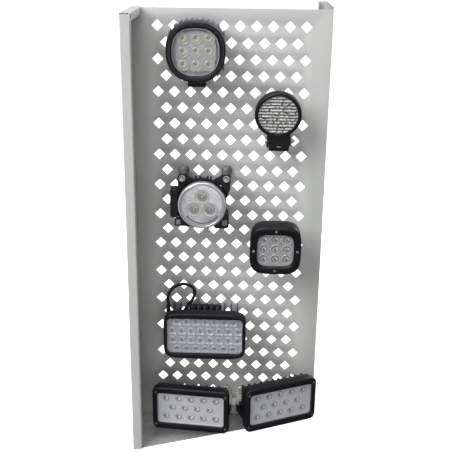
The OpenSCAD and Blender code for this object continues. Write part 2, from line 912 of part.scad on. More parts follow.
// A smooth curve through the points: place number k of the curve between points i and i + 1
function route_point(pts, i, u) = let (
    p0 = pts[max(i - 1, 0)], p1 = pts[i], p2 = pts[i + 1],
    p3 = pts[min(i + 2, len(pts) - 1)])
    0.5 * (2 * p1 + (p2 - p0) * u + (2 * p0 - 5 * p1 + 4 * p2 - p3) * u * u
        + (3 * p1 - p0 - 3 * p2 + p3) * u * u * u);
function route_curve(pts) = concat(
    [for (i = [0 : len(pts) - 2], k = [0 : cable_steps - 1]) route_point(pts, i, k / cable_steps)],
    [pts[len(pts) - 1]]);
// Ends are cut square to Z, because the lead leaves and enters upright
function ring_dir(c, i) = (i == 0) ? [0, 0, 1]
    : (i == len(c) - 1) ? [0, 0, -1] : unit(c[i + 1] - c[i - 1]);
function ring_points(c, i) = let (
    d = ring_dir(c, i), side = unit(cross(d, [0, 1, 0])), up = cross(side, d))
    [for (k = [0 : cable_sides - 1])
        let (a = 360 * k / cable_sides)
        c[i] + cable_d / 2 * (cos(a) * side + sin(a) * up)];

module tube_along(pts) {
    c = route_curve(pts);
    n = len(c);
    m = cable_sides;
    skin = [for (i = [0 : n - 2], k = [0 : m - 1], half = [0, 1])
        half == 0 ? [i * m + k, i * m + (k + 1) % m, (i + 1) * m + k]
            : [i * m + (k + 1) % m, (i + 1) * m + (k + 1) % m, (i + 1) * m + k]];
    ends = [[for (k = [m - 1 : -1 : 0]) k], [for (k = [0 : m - 1]) (n - 1) * m + k]];
    polyhedron(points = [for (i = [0 : n - 1]) each ring_points(c, i)],
        faces = concat(skin, ends));
}

module wide_lamp_cable() {
    color("black") translate(wide_hole) tube_along(cable_route);
}

module wide_lamp_cable_gland() {
    start = cable_route[0];
    foot = -wide_pivot[2] + 14;
    color("black") translate(wide_hole + [start[0], start[1], 0]) {
        translate([0, 0, foot]) cylinder(r = 5, h = 8);
        translate([0, 0, foot + 8]) cylinder(r1 = 4.8, r2 = 3.4, h = start[2] - foot - 8);
    }
}

module wide_lamp_connector() {
    end = cable_route[len(cable_route) - 1];
    color(lamp_black) translate(wide_hole + end) {
        translate([-7, -4.5, -26]) cube([14, 9, 22]);
        translate([0, 0, -4]) cylinder(r = 4, h = 4);
    }
}

// ---- Left and right lamps: fourteen sources, swung about an upright bolt ----

module at_left_lamp() {
    translate(left_hole + [0, -upright_reach, -upright_drop]) rotate([0, 0, left_yaw])
        translate(-left_pivot) children();
}

module at_right_lamp() {
    translate(right_hole + [0, -upright_reach, -upright_drop]) rotate([0, 0, right_yaw])
        translate(-right_pivot) children();
}

corner_form = ["round", corner_r];
corner_window_form = ["round", corner_window_r];
corner_leds = row_grid(corner_led_rows, corner_led_pitch);
corner_screws = corners(corner_w / 2 - 6.6, corner_h / 2 - 11.3);

// The housing, and an arm from its rear to an upright pivot bolt
module corner_housing(pivot) {
    fin_y = board_y + board_t + floor_t + 4;
    root_z = min(pivot[2] - upright_lug_h / 2, -corner_h / 2 + 6);
    color(lamp_black) difference() {
        union() {
            housing_cup([corner_w - 4, corner_h - 4], corner_form, corner_window,
                corner_window_form, 0, bezel_d, corner_screws);
            slab(board_y + board_t + floor_t - eps, fin_y)
                face([corner_w - 6, corner_h - 6], corner_form);
            fins(11, 13, fin_y - eps, corner_depth, 2 * corner_h)
                translate([0, -4]) face([corner_w - 10, corner_h - 16], corner_form);
            translate([pivot[0] - upright_lug_r, fin_y - eps, pivot[2] - upright_lug_h / 2])
                cube([2 * upright_lug_r, pivot[1] - fin_y - upright_ear_r - 1,
                    max(upright_lug_h, -corner_h / 4 - pivot[2] + upright_lug_h / 2)]);
            translate([pivot[0], 0, pivot[2] - upright_lug_h / 2]) linear_extrude(upright_lug_h) {
                translate([0, pivot[1]]) circle(upright_lug_r);
                translate([-upright_lug_r, fin_y])
                    square([2 * upright_lug_r, pivot[1] - fin_y]);
            }
        }
        translate([pivot[0], pivot[1], pivot[2] - upright_lug_h])
            cylinder(d = pivot_d + 2 * bore_gap, h = 2 * upright_lug_h);
    }
}

module corner_bezel() {
    bezel_ring([corner_w, corner_h], corner_form, corner_window, corner_window_form, 0,
        bezel_d, corner_screws);
}

module corner_lens() {
    lens_plate(corner_window, corner_window_form, 0);
}

module corner_reflectors() {
    reflector_plate(corner_window, corner_window_form, 0, corner_leds, 19, 8);
}

module corner_led_board() {
    led_board(corner_window, corner_window_form, 0, corner_leds, 4);
}

module left_lamp_housing() { at_left_lamp() corner_housing(left_pivot); }
module left_lamp_bezel() { at_left_lamp() corner_bezel(); }
module left_lamp_lens() { at_left_lamp() corner_lens(); }
module left_lamp_reflectors() { at_left_lamp() corner_reflectors(); }
module left_lamp_led_board() { at_left_lamp() corner_led_board(); }
module left_lamp_screws() { at_left_lamp() bezel_screws(corner_screws, bezel_d); }
module left_lamp_bracket() { upright_bracket(left_hole); }
module left_lamp_pivot_bolt() { upright_bolt(left_hole); }

module right_lamp_housing() { at_right_lamp() corner_housing(right_pivot); }
module right_lamp_bezel() { at_right_lamp() corner_bezel(); }
module right_lamp_lens() { at_right_lamp() corner_lens(); }
module right_lamp_reflectors() { at_right_lamp() corner_reflectors(); }
module right_lamp_led_board() { at_right_lamp() corner_led_board(); }
module right_lamp_screws() { at_right_lamp() bezel_screws(corner_screws, bezel_d); }
module right_lamp_bracket() { upright_bracket(right_hole); }
module right_lamp_pivot_bolt() { upright_bolt(right_hole); }

perforated_panel();
base_plate();
left_cheek();
right_cheek();
panel_fasteners();
top_lamp_housing();
top_lamp_bezel();
top_lamp_lens();
top_lamp_reflectors();
top_lamp_led_board();
top_lamp_screws();
top_lamp_bracket();
top_lamp_pivot_bolt();
round_lamp_housing();
round_lamp_bezel();
round_lamp_lens();
round_lamp_led_board();
round_lamp_bracket();
round_lamp_pivot_bolt();
headlamp_frame();
headlamp_adjuster_caps();
headlamp_driver_box();
headlamp_housing();
headlamp_lens();
headlamp_reflectors();
headlamp_led_board();
square_lamp_housing();
square_lamp_bezel();
square_lamp_lens();
square_lamp_reflectors();
square_lamp_led_board();
square_lamp_screws();
square_lamp_bracket();
square_lamp_pivot_bolt();
wide_lamp_housing();
wide_lamp_bezel();
wide_lamp_lens();
wide_lamp_reflectors();
wide_lamp_led_board();
wide_lamp_bracket();
wide_lamp_pivot_bolt();
wide_lamp_cable();
wide_lamp_cable_gland();
wide_lamp_connector();
left_lamp_housing();
left_lamp_bezel();
left_lamp_lens();
left_lamp_reflectors();
left_lamp_led_board();
left_lamp_screws();
left_lamp_bracket();
left_lamp_pivot_bolt();
right_lamp_housing();
right_lamp_bezel();
right_lamp_lens();
right_lamp_reflectors();
right_lamp_led_board();
right_lamp_screws();
right_lamp_bracket();
right_lamp_pivot_bolt();
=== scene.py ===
import json
import math

import bmesh
import bpy
from mathutils import Matrix, Vector


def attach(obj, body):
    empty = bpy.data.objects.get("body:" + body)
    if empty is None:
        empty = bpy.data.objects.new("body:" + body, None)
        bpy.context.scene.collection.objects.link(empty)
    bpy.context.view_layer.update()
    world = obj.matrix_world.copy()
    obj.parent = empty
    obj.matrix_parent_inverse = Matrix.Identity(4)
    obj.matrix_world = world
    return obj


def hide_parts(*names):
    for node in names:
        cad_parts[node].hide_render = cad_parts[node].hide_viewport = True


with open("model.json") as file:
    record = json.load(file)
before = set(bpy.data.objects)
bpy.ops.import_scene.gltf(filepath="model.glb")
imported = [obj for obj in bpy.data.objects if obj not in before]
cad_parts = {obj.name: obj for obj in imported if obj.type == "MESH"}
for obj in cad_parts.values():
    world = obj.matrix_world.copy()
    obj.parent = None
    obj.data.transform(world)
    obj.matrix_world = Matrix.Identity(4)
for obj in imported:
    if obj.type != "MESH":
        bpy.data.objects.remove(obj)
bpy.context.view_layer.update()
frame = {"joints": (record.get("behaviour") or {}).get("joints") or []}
MM = 0.001
scene = bpy.context.scene
JOINT = {j["name"]: [v / MM for v in j["pos_m"]] for j in frame["joints"]}


# ---------------------------------------------------------------- camera
CAM_PLACE = (0.0376, -1.4845, 0.9624)
CAM_RIGHT = Vector((0.99939, 0.03293, 0.01120))
CAM_UP = Vector((-0.02169, 0.33826, 0.94080))
CAM_BACK = Vector((0.02720, -0.94048, 0.33877))
cam_data = bpy.data.cameras.new("camera")
cam_data.sensor_width = 36
cam_data.lens = 63.97
cam_data.shift_x = -0.0011
cam_data.shift_y = 0.00126
camera = bpy.data.objects.new("camera", cam_data)
cam_axes = Matrix((CAM_RIGHT, CAM_UP, CAM_BACK)).transposed().to_4x4()
camera.matrix_world = Matrix.Translation(CAM_PLACE) @ cam_axes
scene.collection.objects.link(camera)
scene.camera = camera


# ---------------------------------------------------------------- mesh building, in mm
class Build:
    """Vertices in mm and faces with a material number each."""

    def __init__(self):
        self.v, self.f, self.m = [], [], []

    def add(self, verts, faces, mat=0):
        base = len(self.v)
        self.v += [tuple(p) for p in verts]
        self.f += [[base + i for i in f] for f in faces]
        self.m += [mat] * len(faces) if isinstance(mat, int) else list(mat)


def loft(b, loops, mat=0, ring=False, caps=(True, True)):
    """Skins equal-length loops one after the other; ring joins the last to the first."""
    n, m = len(loops[0]), len(loops)
    faces = []
    for i in range(m if ring else m - 1):
        a, c = i * n, ((i + 1) % m) * n
        for k in range(n):
            k2 = (k + 1) % n
            faces.append([a + k, a + k2, c + k2, c + k])
    if not ring and caps[0]:
        faces.append(list(range(n - 1, -1, -1)))
    if not ring and caps[1]:
        faces.append([(m - 1) * n + k for k in range(n)])
    b.add([p for lp in loops for p in lp], faces, mat)


def spot(axis, c, p, q, t):
    """A point t along an axis through c, with p and q across it."""
    if axis == "y":
        return (c[0] + p, c[1] + t, c[2] + q)
    if axis == "x":
        return (c[0] + t, c[1] + p, c[2] + q)
    return (c[0] + p, c[1] + q, c[2] + t)


def stack(b, rows, axis, c=(0, 0, 0), mat=0, ring=False, caps=(True, True)):
    """Skins outlines, each given with its distance along the axis through c."""
    loft(b, [[spot(axis, c, p, q, t) for p, q in line] for line, t in rows], mat, ring, caps)


def lathe(b, profile, c=(0, 0, 0), axis="y", n=32, mat=0, ring=False):
    """Turns a profile of (radius, distance) round an axis through c; mat is one number or one a band."""
    verts, idx, faces, mats = [], [], [], []
    for r, t in profile:
        if r < 1e-6:
            idx.append([len(verts)])
            verts.append(spot(axis, c, 0, 0, t))
        else:
            idx.append(list(range(len(verts), len(verts) + n)))
            for k in range(n):
                a = 2 * math.pi * k / n
                verts.append(spot(axis, c, r * math.cos(a), r * math.sin(a), t))
    pairs = list(zip(idx, idx[1:])) + ([(idx[-1], idx[0])] if ring else [])
    for band, (one, two) in enumerate(pairs):
        if len(one) == 1 and len(two) == 1:
            continue
        mats += [mat if isinstance(mat, int) else mat[band]] * n
        for k in range(n):
            k2 = (k + 1) % n
            if len(one) == 1:
                faces.append([one[0], two[k2], two[k]])
            elif len(two) == 1:
                faces.append([one[k], one[k2], two[0]])
            else:
                faces.append([one[k], one[k2], two[k2], two[k]])
    if not ring:
        if len(idx[0]) > 1:
            faces.append(idx[0][::-1])
            mats.append(mats[0])
        if len(idx[-1]) > 1:
            faces.append(idx[-1])
            mats.append(mats[n])
    b.add(verts, faces, mats)


def inset(poly, d):
    """A polygon with every edge moved in by d."""
    n = len(poly)
    area = sum(poly[i][0] * poly[(i + 1) % n][1] - poly[(i + 1) % n][0] * poly[i][1] for i in range(n))
    s = 1 if area > 0 else -1
    out = []
    for i in range(n):
        a, p, c = Vector(poly[i - 1]), Vector(poly[i]), Vector(poly[(i + 1) % n])
        e1, e2 = (p - a).normalized(), (c - p).normalized()
        n1, n2 = Vector((-e1.y, e1.x)) * s, Vector((-e2.y, e2.x)) * s
        m = n1 + n2
        m = m / max(m.length_squared / 2, 0.3)
        out.append((p.x + m.x * d, p.y + m.y * d))
    return out


def prism(b, poly, axis, lo, hi, chamfer, mat=0):
    """A polygon carried along an axis, its ends chamfered. It is (y, z), (x, z) or (x, y) for x, y or z."""
    small = inset(poly, chamfer)
    stack(b, [(small, lo), (poly, lo + chamfer), (poly, hi - chamfer), (small, hi)], axis, mat=mat)


def rounded_poly(pts, r, k):
    """Corners replaced by curves that start r away from each; r is one number or one a corner."""
    out, n = [], len(pts)
    for i in range(n):
        p = Vector(pts[i])
        ri = r[i] if isinstance(r, (list, tuple)) else r
        if ri <= 0:
            out.append(tuple(p))
            continue
        a, c = Vector(pts[i - 1]) - p, Vector(pts[(i + 1) % n]) - p
        d = min(ri, a.length * 0.49, c.length * 0.49)
        p0, p2 = p + a.normalized() * d, p + c.normalized() * d
        for j in range(k + 1):
            t = j / k
            q = p0 * (1 - t) ** 2 + p * 2 * t * (1 - t) * 0.97 + p2 * t * t + p * 0.03 * 2 * t * (1 - t)
            out.append((q.x, q.y))
    return out


def box_poly(x0, z0, x1, z1):
    return [(x0, z0), (x1, z0), (x1, z1), (x0, z1)]


def shift(line, dx, dz):
    return [(x + dx, z + dz) for x, z in line]


def block(b, lo, hi, r, mat=0, axis="y", chamfer=0.4):
    """A box with rounded upright edges and chamfered ends."""
    i, j, k = {"x": (1, 2, 0), "y": (0, 2, 1), "z": (0, 1, 2)}[axis]
    poly = rounded_poly(box_poly(lo[i], lo[j], hi[i], hi[j]), r, 4)
    prism(b, poly, axis, lo[k], hi[k], chamfer, mat)


def sheet_outline(path, t, r):
    """The outline of a bent sheet of thickness t that follows path, with bends of radius r at the middle."""
    mid = [Vector(path[0])]
    for i in range(1, len(path) - 1):
        p = Vector(path[i])
        a, c = (Vector(path[i - 1]) - p).normalized(), (Vector(path[i + 1]) - p).normalized()
        centre = p + (a + c) * r
        for j in range(7):
            g = j / 6 * math.pi / 2
            mid.append(centre - c * r * math.cos(g) - a * r * math.sin(g))
    mid.append(Vector(path[-1]))
    left, right = [], []
    for i, p in enumerate(mid):
        d = (mid[min(i + 1, len(mid) - 1)] - mid[max(i - 1, 0)]).normalized()
        nrm = Vector((-d.y, d.x)) * t / 2
        left.append(tuple(p + nrm))
        right.append(tuple(p - nrm))
    return left + right[::-1]


def arc(r, a0, a1, n, cx=0.0, cz=0.0):
    """Points at n even steps round an arc of radius r from a0 to a1 degrees."""
    angles = [math.radians(a0 + (a1 - a0) * i / n) for i in range(n + 1)]
    return [(cx + r * math.cos(a), cz + r * math.sin(a)) for a in angles]


def circle(r, n, start=0.0):
    return arc(r, start, start + 360 * (n - 1) / n, n - 1)


def superell(w, h, upper, lower):
    """A superellipse whose lower half may have a power of its own."""
    out = []
    for c, s in circle(1, 88, 180 / 88):
        e = 2 / ((lower or upper) if s < 0 else upper)
        out.append((w / 2 * math.copysign(abs(c) ** e, c), h / 2 * math.copysign(abs(s) ** e, s)))
    return out


def rounded(w, h, r, k):
    r = max(r, 0.2)
    out = []
    for cx, cz, a0 in ((1, 1, 0), (-1, 1, 90), (-1, -1, 180), (1, -1, 270)):
        out += arc(r, a0, a0 + 90, k, cx * (w / 2 - r), cz * (h / 2 - r))
    return out


def hex_ring(af, turn=0.0):
    """A hexagon, af across its flats, as 24 points at even angles."""
    out = []
    for x, z in circle(1, 24):
        off = (math.degrees(math.atan2(z, x)) - turn) % 60 - 30
        r = af / 2 / math.cos(math.radians(off))
        out.append((r * x, r * z))
    return out


def ring_cap(points, limit):
    """Pulls a ring's points in to a circle of that radius where they stand outside it."""
    scales = [min(1, limit / math.hypot(x, z)) for x, z in points]
    return [(x * s, z * s) for (x, z), s in zip(points, scales)]


def hex_block(b, c, axis, t0, t1, af, mat=0, bore=0.0, turn=0.0):
    """A hex head or nut from t0 to t1 along its axis, its corners turned off at the t0 end."""
    full = hex_ring(af, turn)
    cut = ring_cap(full, af / 2 * 0.98)
    s = 1 if t1 > t0 else -1
    rows = [(cut, t0), (full, t0 + s * 0.09 * af), (full, t1 - s * 0.02 * af), (inset(full, 0.15), t1)]
    if bore:
        hole = circle(bore, 24)
        rows = [(hole, t0)] + rows + [(hole, t1)]
    stack(b, rows, axis, c, mat, ring=bool(bore))
    if not bore:  # a shallow round dish in the head
        r = af * 0.3
        lathe(b, [(r, t0 - s * 0.15), (r * 0.9, t0 - s * 0.3), (0, t0 - s * 0.3)], c, axis, 20, mat)


def thread(b, c, axis, t0, t1, r, pitch, mat=0):
    """A shank with threads from t0 to t1."""
    rows = [(r * 0.82, t0)]
    s = 1 if t1 > t0 else -1
    for i in range(max(1, int(abs(t1 - t0) / pitch))):
        t = t0 + s * i * pitch
        rows += [(r * 0.9, t + s * 0.1 * pitch), (r, t + s * 0.5 * pitch), (r * 0.9, t + s * 0.9 * pitch)]
    rows.append((r * 0.8, t1))
    lathe(b, rows, c, axis, 20, mat)


def socket_head(b, c, r, h, af, depth, mat=0):
    """A round screw head whose face is at c and looks along -y, with a hex socket."""
    hexa = hex_ring(af)
    full = circle(r, 24)
    rows = [(full, h), (full, 0.18 * r), (circle(r * 0.9, 24), 0.0), (hexa, 0.05), (hexa, depth)]
    stack(b, rows, "y", c, mat)


def slot_head(b, c, r, h, turn):
    """A slotted screw head whose face is at c and looks along -y."""
    lathe(b, [(r, h), (r, 0.55 * h), (0, 0.55 * h)], c, n=24)
    edge = math.degrees(math.asin(0.16))
    cos, sin = math.cos(math.radians(turn)), math.sin(math.radians(turn))
    for side in (-1, 1):
        half = [(x, side * z) for x, z in arc(r, edge, 180 - edge, 12)]
        half = [(c[0] + x * cos - z * sin, c[2] + x * sin + z * cos) for x, z in half]
        prism(b, half, "y", c[1], c[1] + 0.55 * h, 0.12)


def holed_plate(b, outer, holes, y0, y1, bevel):
    """A flat plate in the x-z plane with holes, its edges rounded by bevel."""
    curve = bpy.data.curves.new("plate", "CURVE")
    curve.dimensions, curve.fill_mode = "2D", "BOTH"
    for poly in [outer] + holes:
        line = curve.splines.new("POLY")
        line.points.add(len(poly) - 1)
        for point, (x, z) in zip(line.points, poly):
            point.co = (x, z, 0, 1)
        line.use_cyclic_u = True
    curve.extrude = (y1 - y0) / 2 - bevel
    curve.bevel_depth, curve.bevel_resolution, curve.offset = bevel, 1, -bevel
    temp = bpy.data.objects.new("plate", curve)
    scene.collection.objects.link(temp)
    graph = bpy.context.evaluated_depsgraph_get()
    mesh = bpy.data.meshes.new_from_object(temp.evaluated_get(graph))
    points = [(v.co.x, (y0 + y1) / 2 + v.co.z, v.co.y) for v in mesh.vertices]
    b.add(points, [list(p.vertices) for p in mesh.polygons])
    bpy.data.objects.remove(temp)
    bpy.data.curves.remove(curve)
    bpy.data.meshes.remove(mesh)


def clean(mesh, merge):
    """Merges doubled points and turns every face outward."""
    work = bmesh.new()
    work.from_mesh(mesh)
    bmesh.ops.remove_doubles(work, verts=work.verts, dist=merge)
    bmesh.ops.recalc_face_normals(work, faces=work.faces)
    work.to_mesh(mesh)
    work.free()


def raw_mesh(b, name, mats, points):
    mesh = bpy.data.meshes.new(name)
    mesh.from_pydata(points, [], b.f)
    mesh.polygons.foreach_set("material_index", b.m)
    for m in mats:
        mesh.materials.append(m)
    return mesh


def piece(b, name, mats, body, nodes, xf=Matrix.Identity(4), angle=32):
    """Makes the object: the mesh goes through xf (mm), rides on body and stands for the nodes."""
    mesh = raw_mesh(b, name, mats, [(xf @ Vector(p)) * MM for p in b.v])
    clean(mesh, 0.002 * MM)
    mesh.validate()
    mesh.shade_smooth()
    mesh.set_sharp_from_angle(angle=math.radians(angle))
    obj = bpy.data.objects.new(name, mesh)
    scene.collection.objects.link(obj)
    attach(obj, body)
    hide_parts(*nodes)
    return obj


def carve(b, mats, cutter):
    """Takes the cutter's volume out of the mesh; cut faces keep the cutter's material number."""
    objs = []
    for source in (b, cutter):
        mesh = raw_mesh(source, "carve", mats, source.v)
        clean(mesh, 0.002)
        objs.append(bpy.data.objects.new("carve", mesh))
        scene.collection.objects.link(objs[-1])
    cut = objs[0].modifiers.new("cut", "BOOLEAN")
    cut.operation, cut.solver, cut.object = "DIFFERENCE", "EXACT", objs[1]
    graph = bpy.context.evaluated_depsgraph_get()
    result = bpy.data.meshes.new_from_object(objs[0].evaluated_get(graph))
    b.v = [tuple(v.co) for v in result.vertices]
    b.f = [list(p.vertices) for p in result.polygons]
    b.m = [p.material_index for p in result.polygons]
    objs[0].modifiers.clear()
    bpy.context.view_layer.update()
    for obj in objs:
        bpy.data.objects.remove(obj)


# ---------------------------------------------------------------- materials
def nodes_of(name):
    m = bpy.data.materials.new(name)
    m.use_nodes = True
    return m, m.node_tree, m.node_tree.nodes["Principled BSDF"]


def feed(tree, node, **values):
    """Sets a node's inputs, an underscore for a space: a socket is linked, anything else is its value."""
    for key, value in values.items():
        socket = node.inputs[key.replace("_", " ")]
        if isinstance(value, bpy.types.NodeSocket):
            tree.links.new(value, socket)
        else:
            socket.default_value = value
    return node


def noise(tree, scale, detail=3.0, rough=0.55):
    coord = tree.nodes.new("ShaderNodeTexCoord").outputs["Object"]
    node = tree.nodes.new("ShaderNodeTexNoise")
    return feed(tree, node, Vector=coord, Scale=scale, Detail=detail, Roughness=rough).outputs["Fac"]


def spread(tree, fac, lo, hi, a=0.3, b=0.7):
    """Maps a value between a and b to a number from lo to hi."""
    node = tree.nodes.new("ShaderNodeMapRange")
    feed(tree, node, Value=fac, From_Min=a, From_Max=b, To_Min=lo, To_Max=hi)
    return node.outputs["Result"]


def mix_colour(tree, fac, one, two, blend="MIX"):
    node = tree.nodes.new("ShaderNodeMix")
    node.data_type, node.blend_type = "RGBA", blend
    feed(tree, node, Factor=fac)
    for socket, value in zip([s for s in node.inputs if s.type == "RGBA"], (one, two)):
        if isinstance(value, tuple):
            socket.default_value = (*value, 1)
        else:
            tree.links.new(value, socket)
    return [s for s in node.outputs if s.type == "RGBA"][0]


def roughen(tree, shader, height, strength, depth):
    node = feed(tree, tree.nodes.new("ShaderNodeBump"), Strength=strength, Distance=depth, Height=height)
    feed(tree, shader, Normal=node.outputs["Normal"])


def surface(name, colour, rough, metal=0.0, vary=0.06, vary_scale=14.0, speck=0.0, speck_scale=900.0,
            bump=0.0, bump_scale=600.0, bump_depth=0.0003, rough_vary=0.05, spec=0.5, coat=0.0,
            coat_rough=0.1, tint=None):
    """A painted, moulded or plated surface: colour drifts, fine specks, uneven gloss and a fine bump."""
    m, tree, p = nodes_of(name)
    dark = tuple(c * (1 - vary) for c in colour)
    light = tuple(min(1.0, c * (1 + vary)) for c in (tint or colour))
    out = mix_colour(tree, spread(tree, noise(tree, vary_scale, 4.0), 0, 1), dark, light)
    if speck:
        fine = spread(tree, noise(tree, speck_scale, 2.0, 0.6), 0, 1, 0.35, 0.65)
        out = mix_colour(tree, 1.0, out, mix_colour(tree, fine, (1 - speck,) * 3, (1.0,) * 3), "MULTIPLY")
    gloss = spread(tree, noise(tree, vary_scale * 5), rough - rough_vary, rough + rough_vary)
    feed(tree, p, Base_Color=out, Roughness=gloss, Metallic=metal, Specular_IOR_Level=spec,
         Coat_Weight=coat, Coat_Roughness=coat_rough)
    if bump:
        roughen(tree, p, noise(tree, bump_scale, 3.0, 0.6), bump, bump_depth)
    return m


def clear(name, tint, alpha_face, alpha_edge, rough=0.05, ripple=0.0, flecks=None):
    """A clear moulding, more solid at a glancing angle; flecks are spots of a second colour."""
    m, tree, p = nodes_of(name)
    out = mix_colour(tree, spread(tree, noise(tree, 30.0), 0, 1), tuple(c * 0.96 for c in tint), tint)
    if flecks:
        out = mix_colour(tree, spread(tree, noise(tree, 260.0, 2.0), 0, 1, 0.47, 0.58), out, flecks)
    facing = feed(tree, tree.nodes.new("ShaderNodeLayerWeight"), Blend=0.35).outputs["Facing"]
    feed(tree, p, Base_Color=out, Roughness=rough, Specular_IOR_Level=0.9,
         Alpha=spread(tree, facing, alpha_face, alpha_edge, 0.0, 1.0))
    if ripple:
        roughen(tree, p, noise(tree, 60.0), ripple, 0.0004)
    return m


# what several materials share
STEEL = dict(bump=0.1, bump_scale=1200.0, rough_vary=0.08, vary_scale=120.0)
PLATE = dict(metal=0.15, vary_scale=30.0, rough_vary=0.06, bump=0.05, bump_scale=400.0)
SMALL_GLOSSY = dict(vary_scale=200.0, coat=0.6, coat_rough=0.05)
OLIVE_OPTIC = dict(vary_scale=120.0, coat=0.5, spec=0.6, coat_rough=0.08)

PAINT = surface("rack_paint", (0.53, 0.54, 0.52), 0.40, vary=0.03, vary_scale=6.0, speck=0.10,
                speck_scale=620.0, bump=0.25, bump_scale=700.0, bump_depth=0.0002, rough_vary=0.06)
# the base tray's glossy paint, its colour darker than the rack's paint as painted shade
TRAY_PAINT_WITH_SHADE = surface("tray_paint_with_painted_shade", (0.38, 0.39, 0.38), 0.26, vary=0.04, vary_scale=5.0, speck=0.06,
               speck_scale=620.0, bump=0.12, bump_scale=500.0, bump_depth=0.0002, spec=0.6)
ZINC = surface("zinc_steel", (0.56, 0.54, 0.43), 0.30, metal=0.9, vary=0.14, vary_scale=90.0,
               tint=(0.66, 0.64, 0.50), bump=0.15, bump_scale=900.0, rough_vary=0.08)
YOKE_ZINC = surface("yoke_zinc", (0.60, 0.59, 0.55), 0.26, metal=0.45, vary=0.12, vary_scale=40.0,
                    tint=(0.74, 0.73, 0.69), bump=0.35, bump_scale=90.0, bump_depth=0.0008, rough_vary=0.1)
CHROME = surface("chrome_steel", (0.46, 0.47, 0.48), 0.22, metal=1.0, vary=0.05, vary_scale=60.0)
PLAIN_STEEL = surface("plain_steel", (0.50, 0.50, 0.50), 0.32, metal=0.85, vary=0.12, **STEEL)
DARK_STEEL = surface("dark_steel", (0.16, 0.16, 0.165), 0.36, metal=0.7, vary=0.15, **STEEL)
BLACK_STEEL = surface("black_steel", (0.010, 0.010, 0.011), 0.42, vary=0.15, vary_scale=40.0, speck=0.15,
                      speck_scale=1500.0, bump=0.25, bump_scale=1100.0, bump_depth=0.0002, spec=0.4)
CAST = surface("cast_black", (0.009, 0.009, 0.010), 0.46, vary=0.18, vary_scale=30.0, speck=0.2,
               speck_scale=1700.0, bump=0.35, bump_scale=1300.0, bump_depth=0.00025, spec=0.35)
CAST_GREY = surface("cast_grey", (0.105, 0.11, 0.118), 0.42, metal=0.25, vary=0.12, vary_scale=40.0,
                    speck=0.15, speck_scale=1700.0, bump=0.3, bump_scale=1300.0, bump_depth=0.00025)
SATIN = surface("satin_black", (0.006, 0.006, 0.008), 0.36, vary=0.15, vary_scale=30.0, speck=0.15,
                speck_scale=1800.0, bump=0.22, bump_scale=1500.0, bump_depth=0.0002, spec=0.25)
PLASTIC = surface("moulded_black", (0.006, 0.006, 0.007), 0.44, vary=0.2, vary_scale=40.0, speck=0.25,
                  speck_scale=1900.0, bump=0.35, bump_scale=1700.0, bump_depth=0.0002, spec=0.32)
RUBBER = surface("black_rubber", (0.007, 0.007, 0.008), 0.5, vary=0.2, vary_scale=60.0, bump=0.3,
                 bump_scale=2200.0, bump_depth=0.00015, spec=0.3)
CAP_GREY = surface("cap_grey", (0.13, 0.14, 0.15), 0.38, vary=0.08, vary_scale=50.0, speck=0.1,
                   speck_scale=1800.0, bump=0.2, bump_scale=1500.0, bump_depth=0.0002)
SILVER = surface("reflector_silver", (0.62, 0.62, 0.65), 0.22, metal=0.55, vary=0.04, vary_scale=40.0,
                 bump=0.06, bump_scale=260.0)
LAVENDER = surface("lavender_plate", (0.33, 0.33, 0.385), 0.34, **PLATE)
LAVENDER_GLOSS = surface("lavender_silver", (0.50, 0.50, 0.56), 0.36, metal=0.2, vary_scale=40.0,
                         rough_vary=0.06, bump=0.06, bump_scale=260.0)
# pale plates; also the painted highlight at the lower right of the top lamp's optics
PALE = surface("pale_plate", (0.60, 0.60, 0.63), 0.34, vary=0.04, **PLATE)
CLOUDY = surface("cloudy_plate", (0.40, 0.40, 0.42), 0.30, metal=0.1, vary=0.22, vary_scale=45.0,
                 rough_vary=0.08, tint=(0.56, 0.56, 0.58), bump=0.08, bump_scale=300.0)
# a dark lavender for the pan round the top lamp's plate: painted shade inside the ring
LAVENDER_PAINTED_SHADE = surface("lavender_painted_shade", (0.095, 0.095, 0.12), 0.30, metal=0.15, vary=0.08,
                        vary_scale=30.0, rough_vary=0.06, coat=0.3)
OPTIC = surface("optic_clear", (0.64, 0.65, 0.62), 0.10, vary=0.04, vary_scale=80.0, coat=0.6,
                coat_rough=0.03, spec=0.8, rough_vary=0.03)
OPTIC_OLIVE = surface("optic_olive", (0.38, 0.38, 0.29), 0.22, vary=0.10, **OLIVE_OPTIC)
# optic rims, and a painted highlight on the square lamp's optics
OPTIC_RIM_AND_HIGHLIGHT = surface("optic_rim_and_painted_highlight", (0.38, 0.38, 0.345), 0.18, vary=0.08, vary_scale=120.0, coat=0.5,
                    coat_rough=0.06, spec=0.7)
# dark olive spots; in the top lamp's optics they are painted shade at the upper left
OPTIC_SPOT = surface("optic_spot", (0.15, 0.155, 0.115), 0.22, vary=0.12, **OLIVE_OPTIC)
SMOKE = surface("smoke_plate", (0.24, 0.24, 0.26), 0.3, metal=0.2, vary=0.08, vary_scale=30.0,
                bump=0.05, bump_scale=400.0)
# the wide lamp's bottom row of eyes, drawn darker than the others as painted shade
EYE_WITH_PAINTED_SHADE = surface("eye_with_painted_shade", (0.06, 0.06, 0.065), 0.4, vary=0.15, vary_scale=90.0, spec=0.3)
LAVENDER_SHADE = surface("lavender_shade", (0.17, 0.17, 0.20), 0.3, metal=0.2, vary=0.1,
                         vary_scale=60.0, coat=0.3)
OPTIC_GREY = surface("optic_grey", (0.42, 0.43, 0.42), 0.14, vary=0.08, vary_scale=90.0, coat=0.5,
                     coat_rough=0.05, spec=0.7)
OPTIC_LAVENDER = surface("optic_lavender", (0.44, 0.44, 0.49), 0.26, vary=0.08, vary_scale=90.0,
                         coat=0.3, coat_rough=0.15)
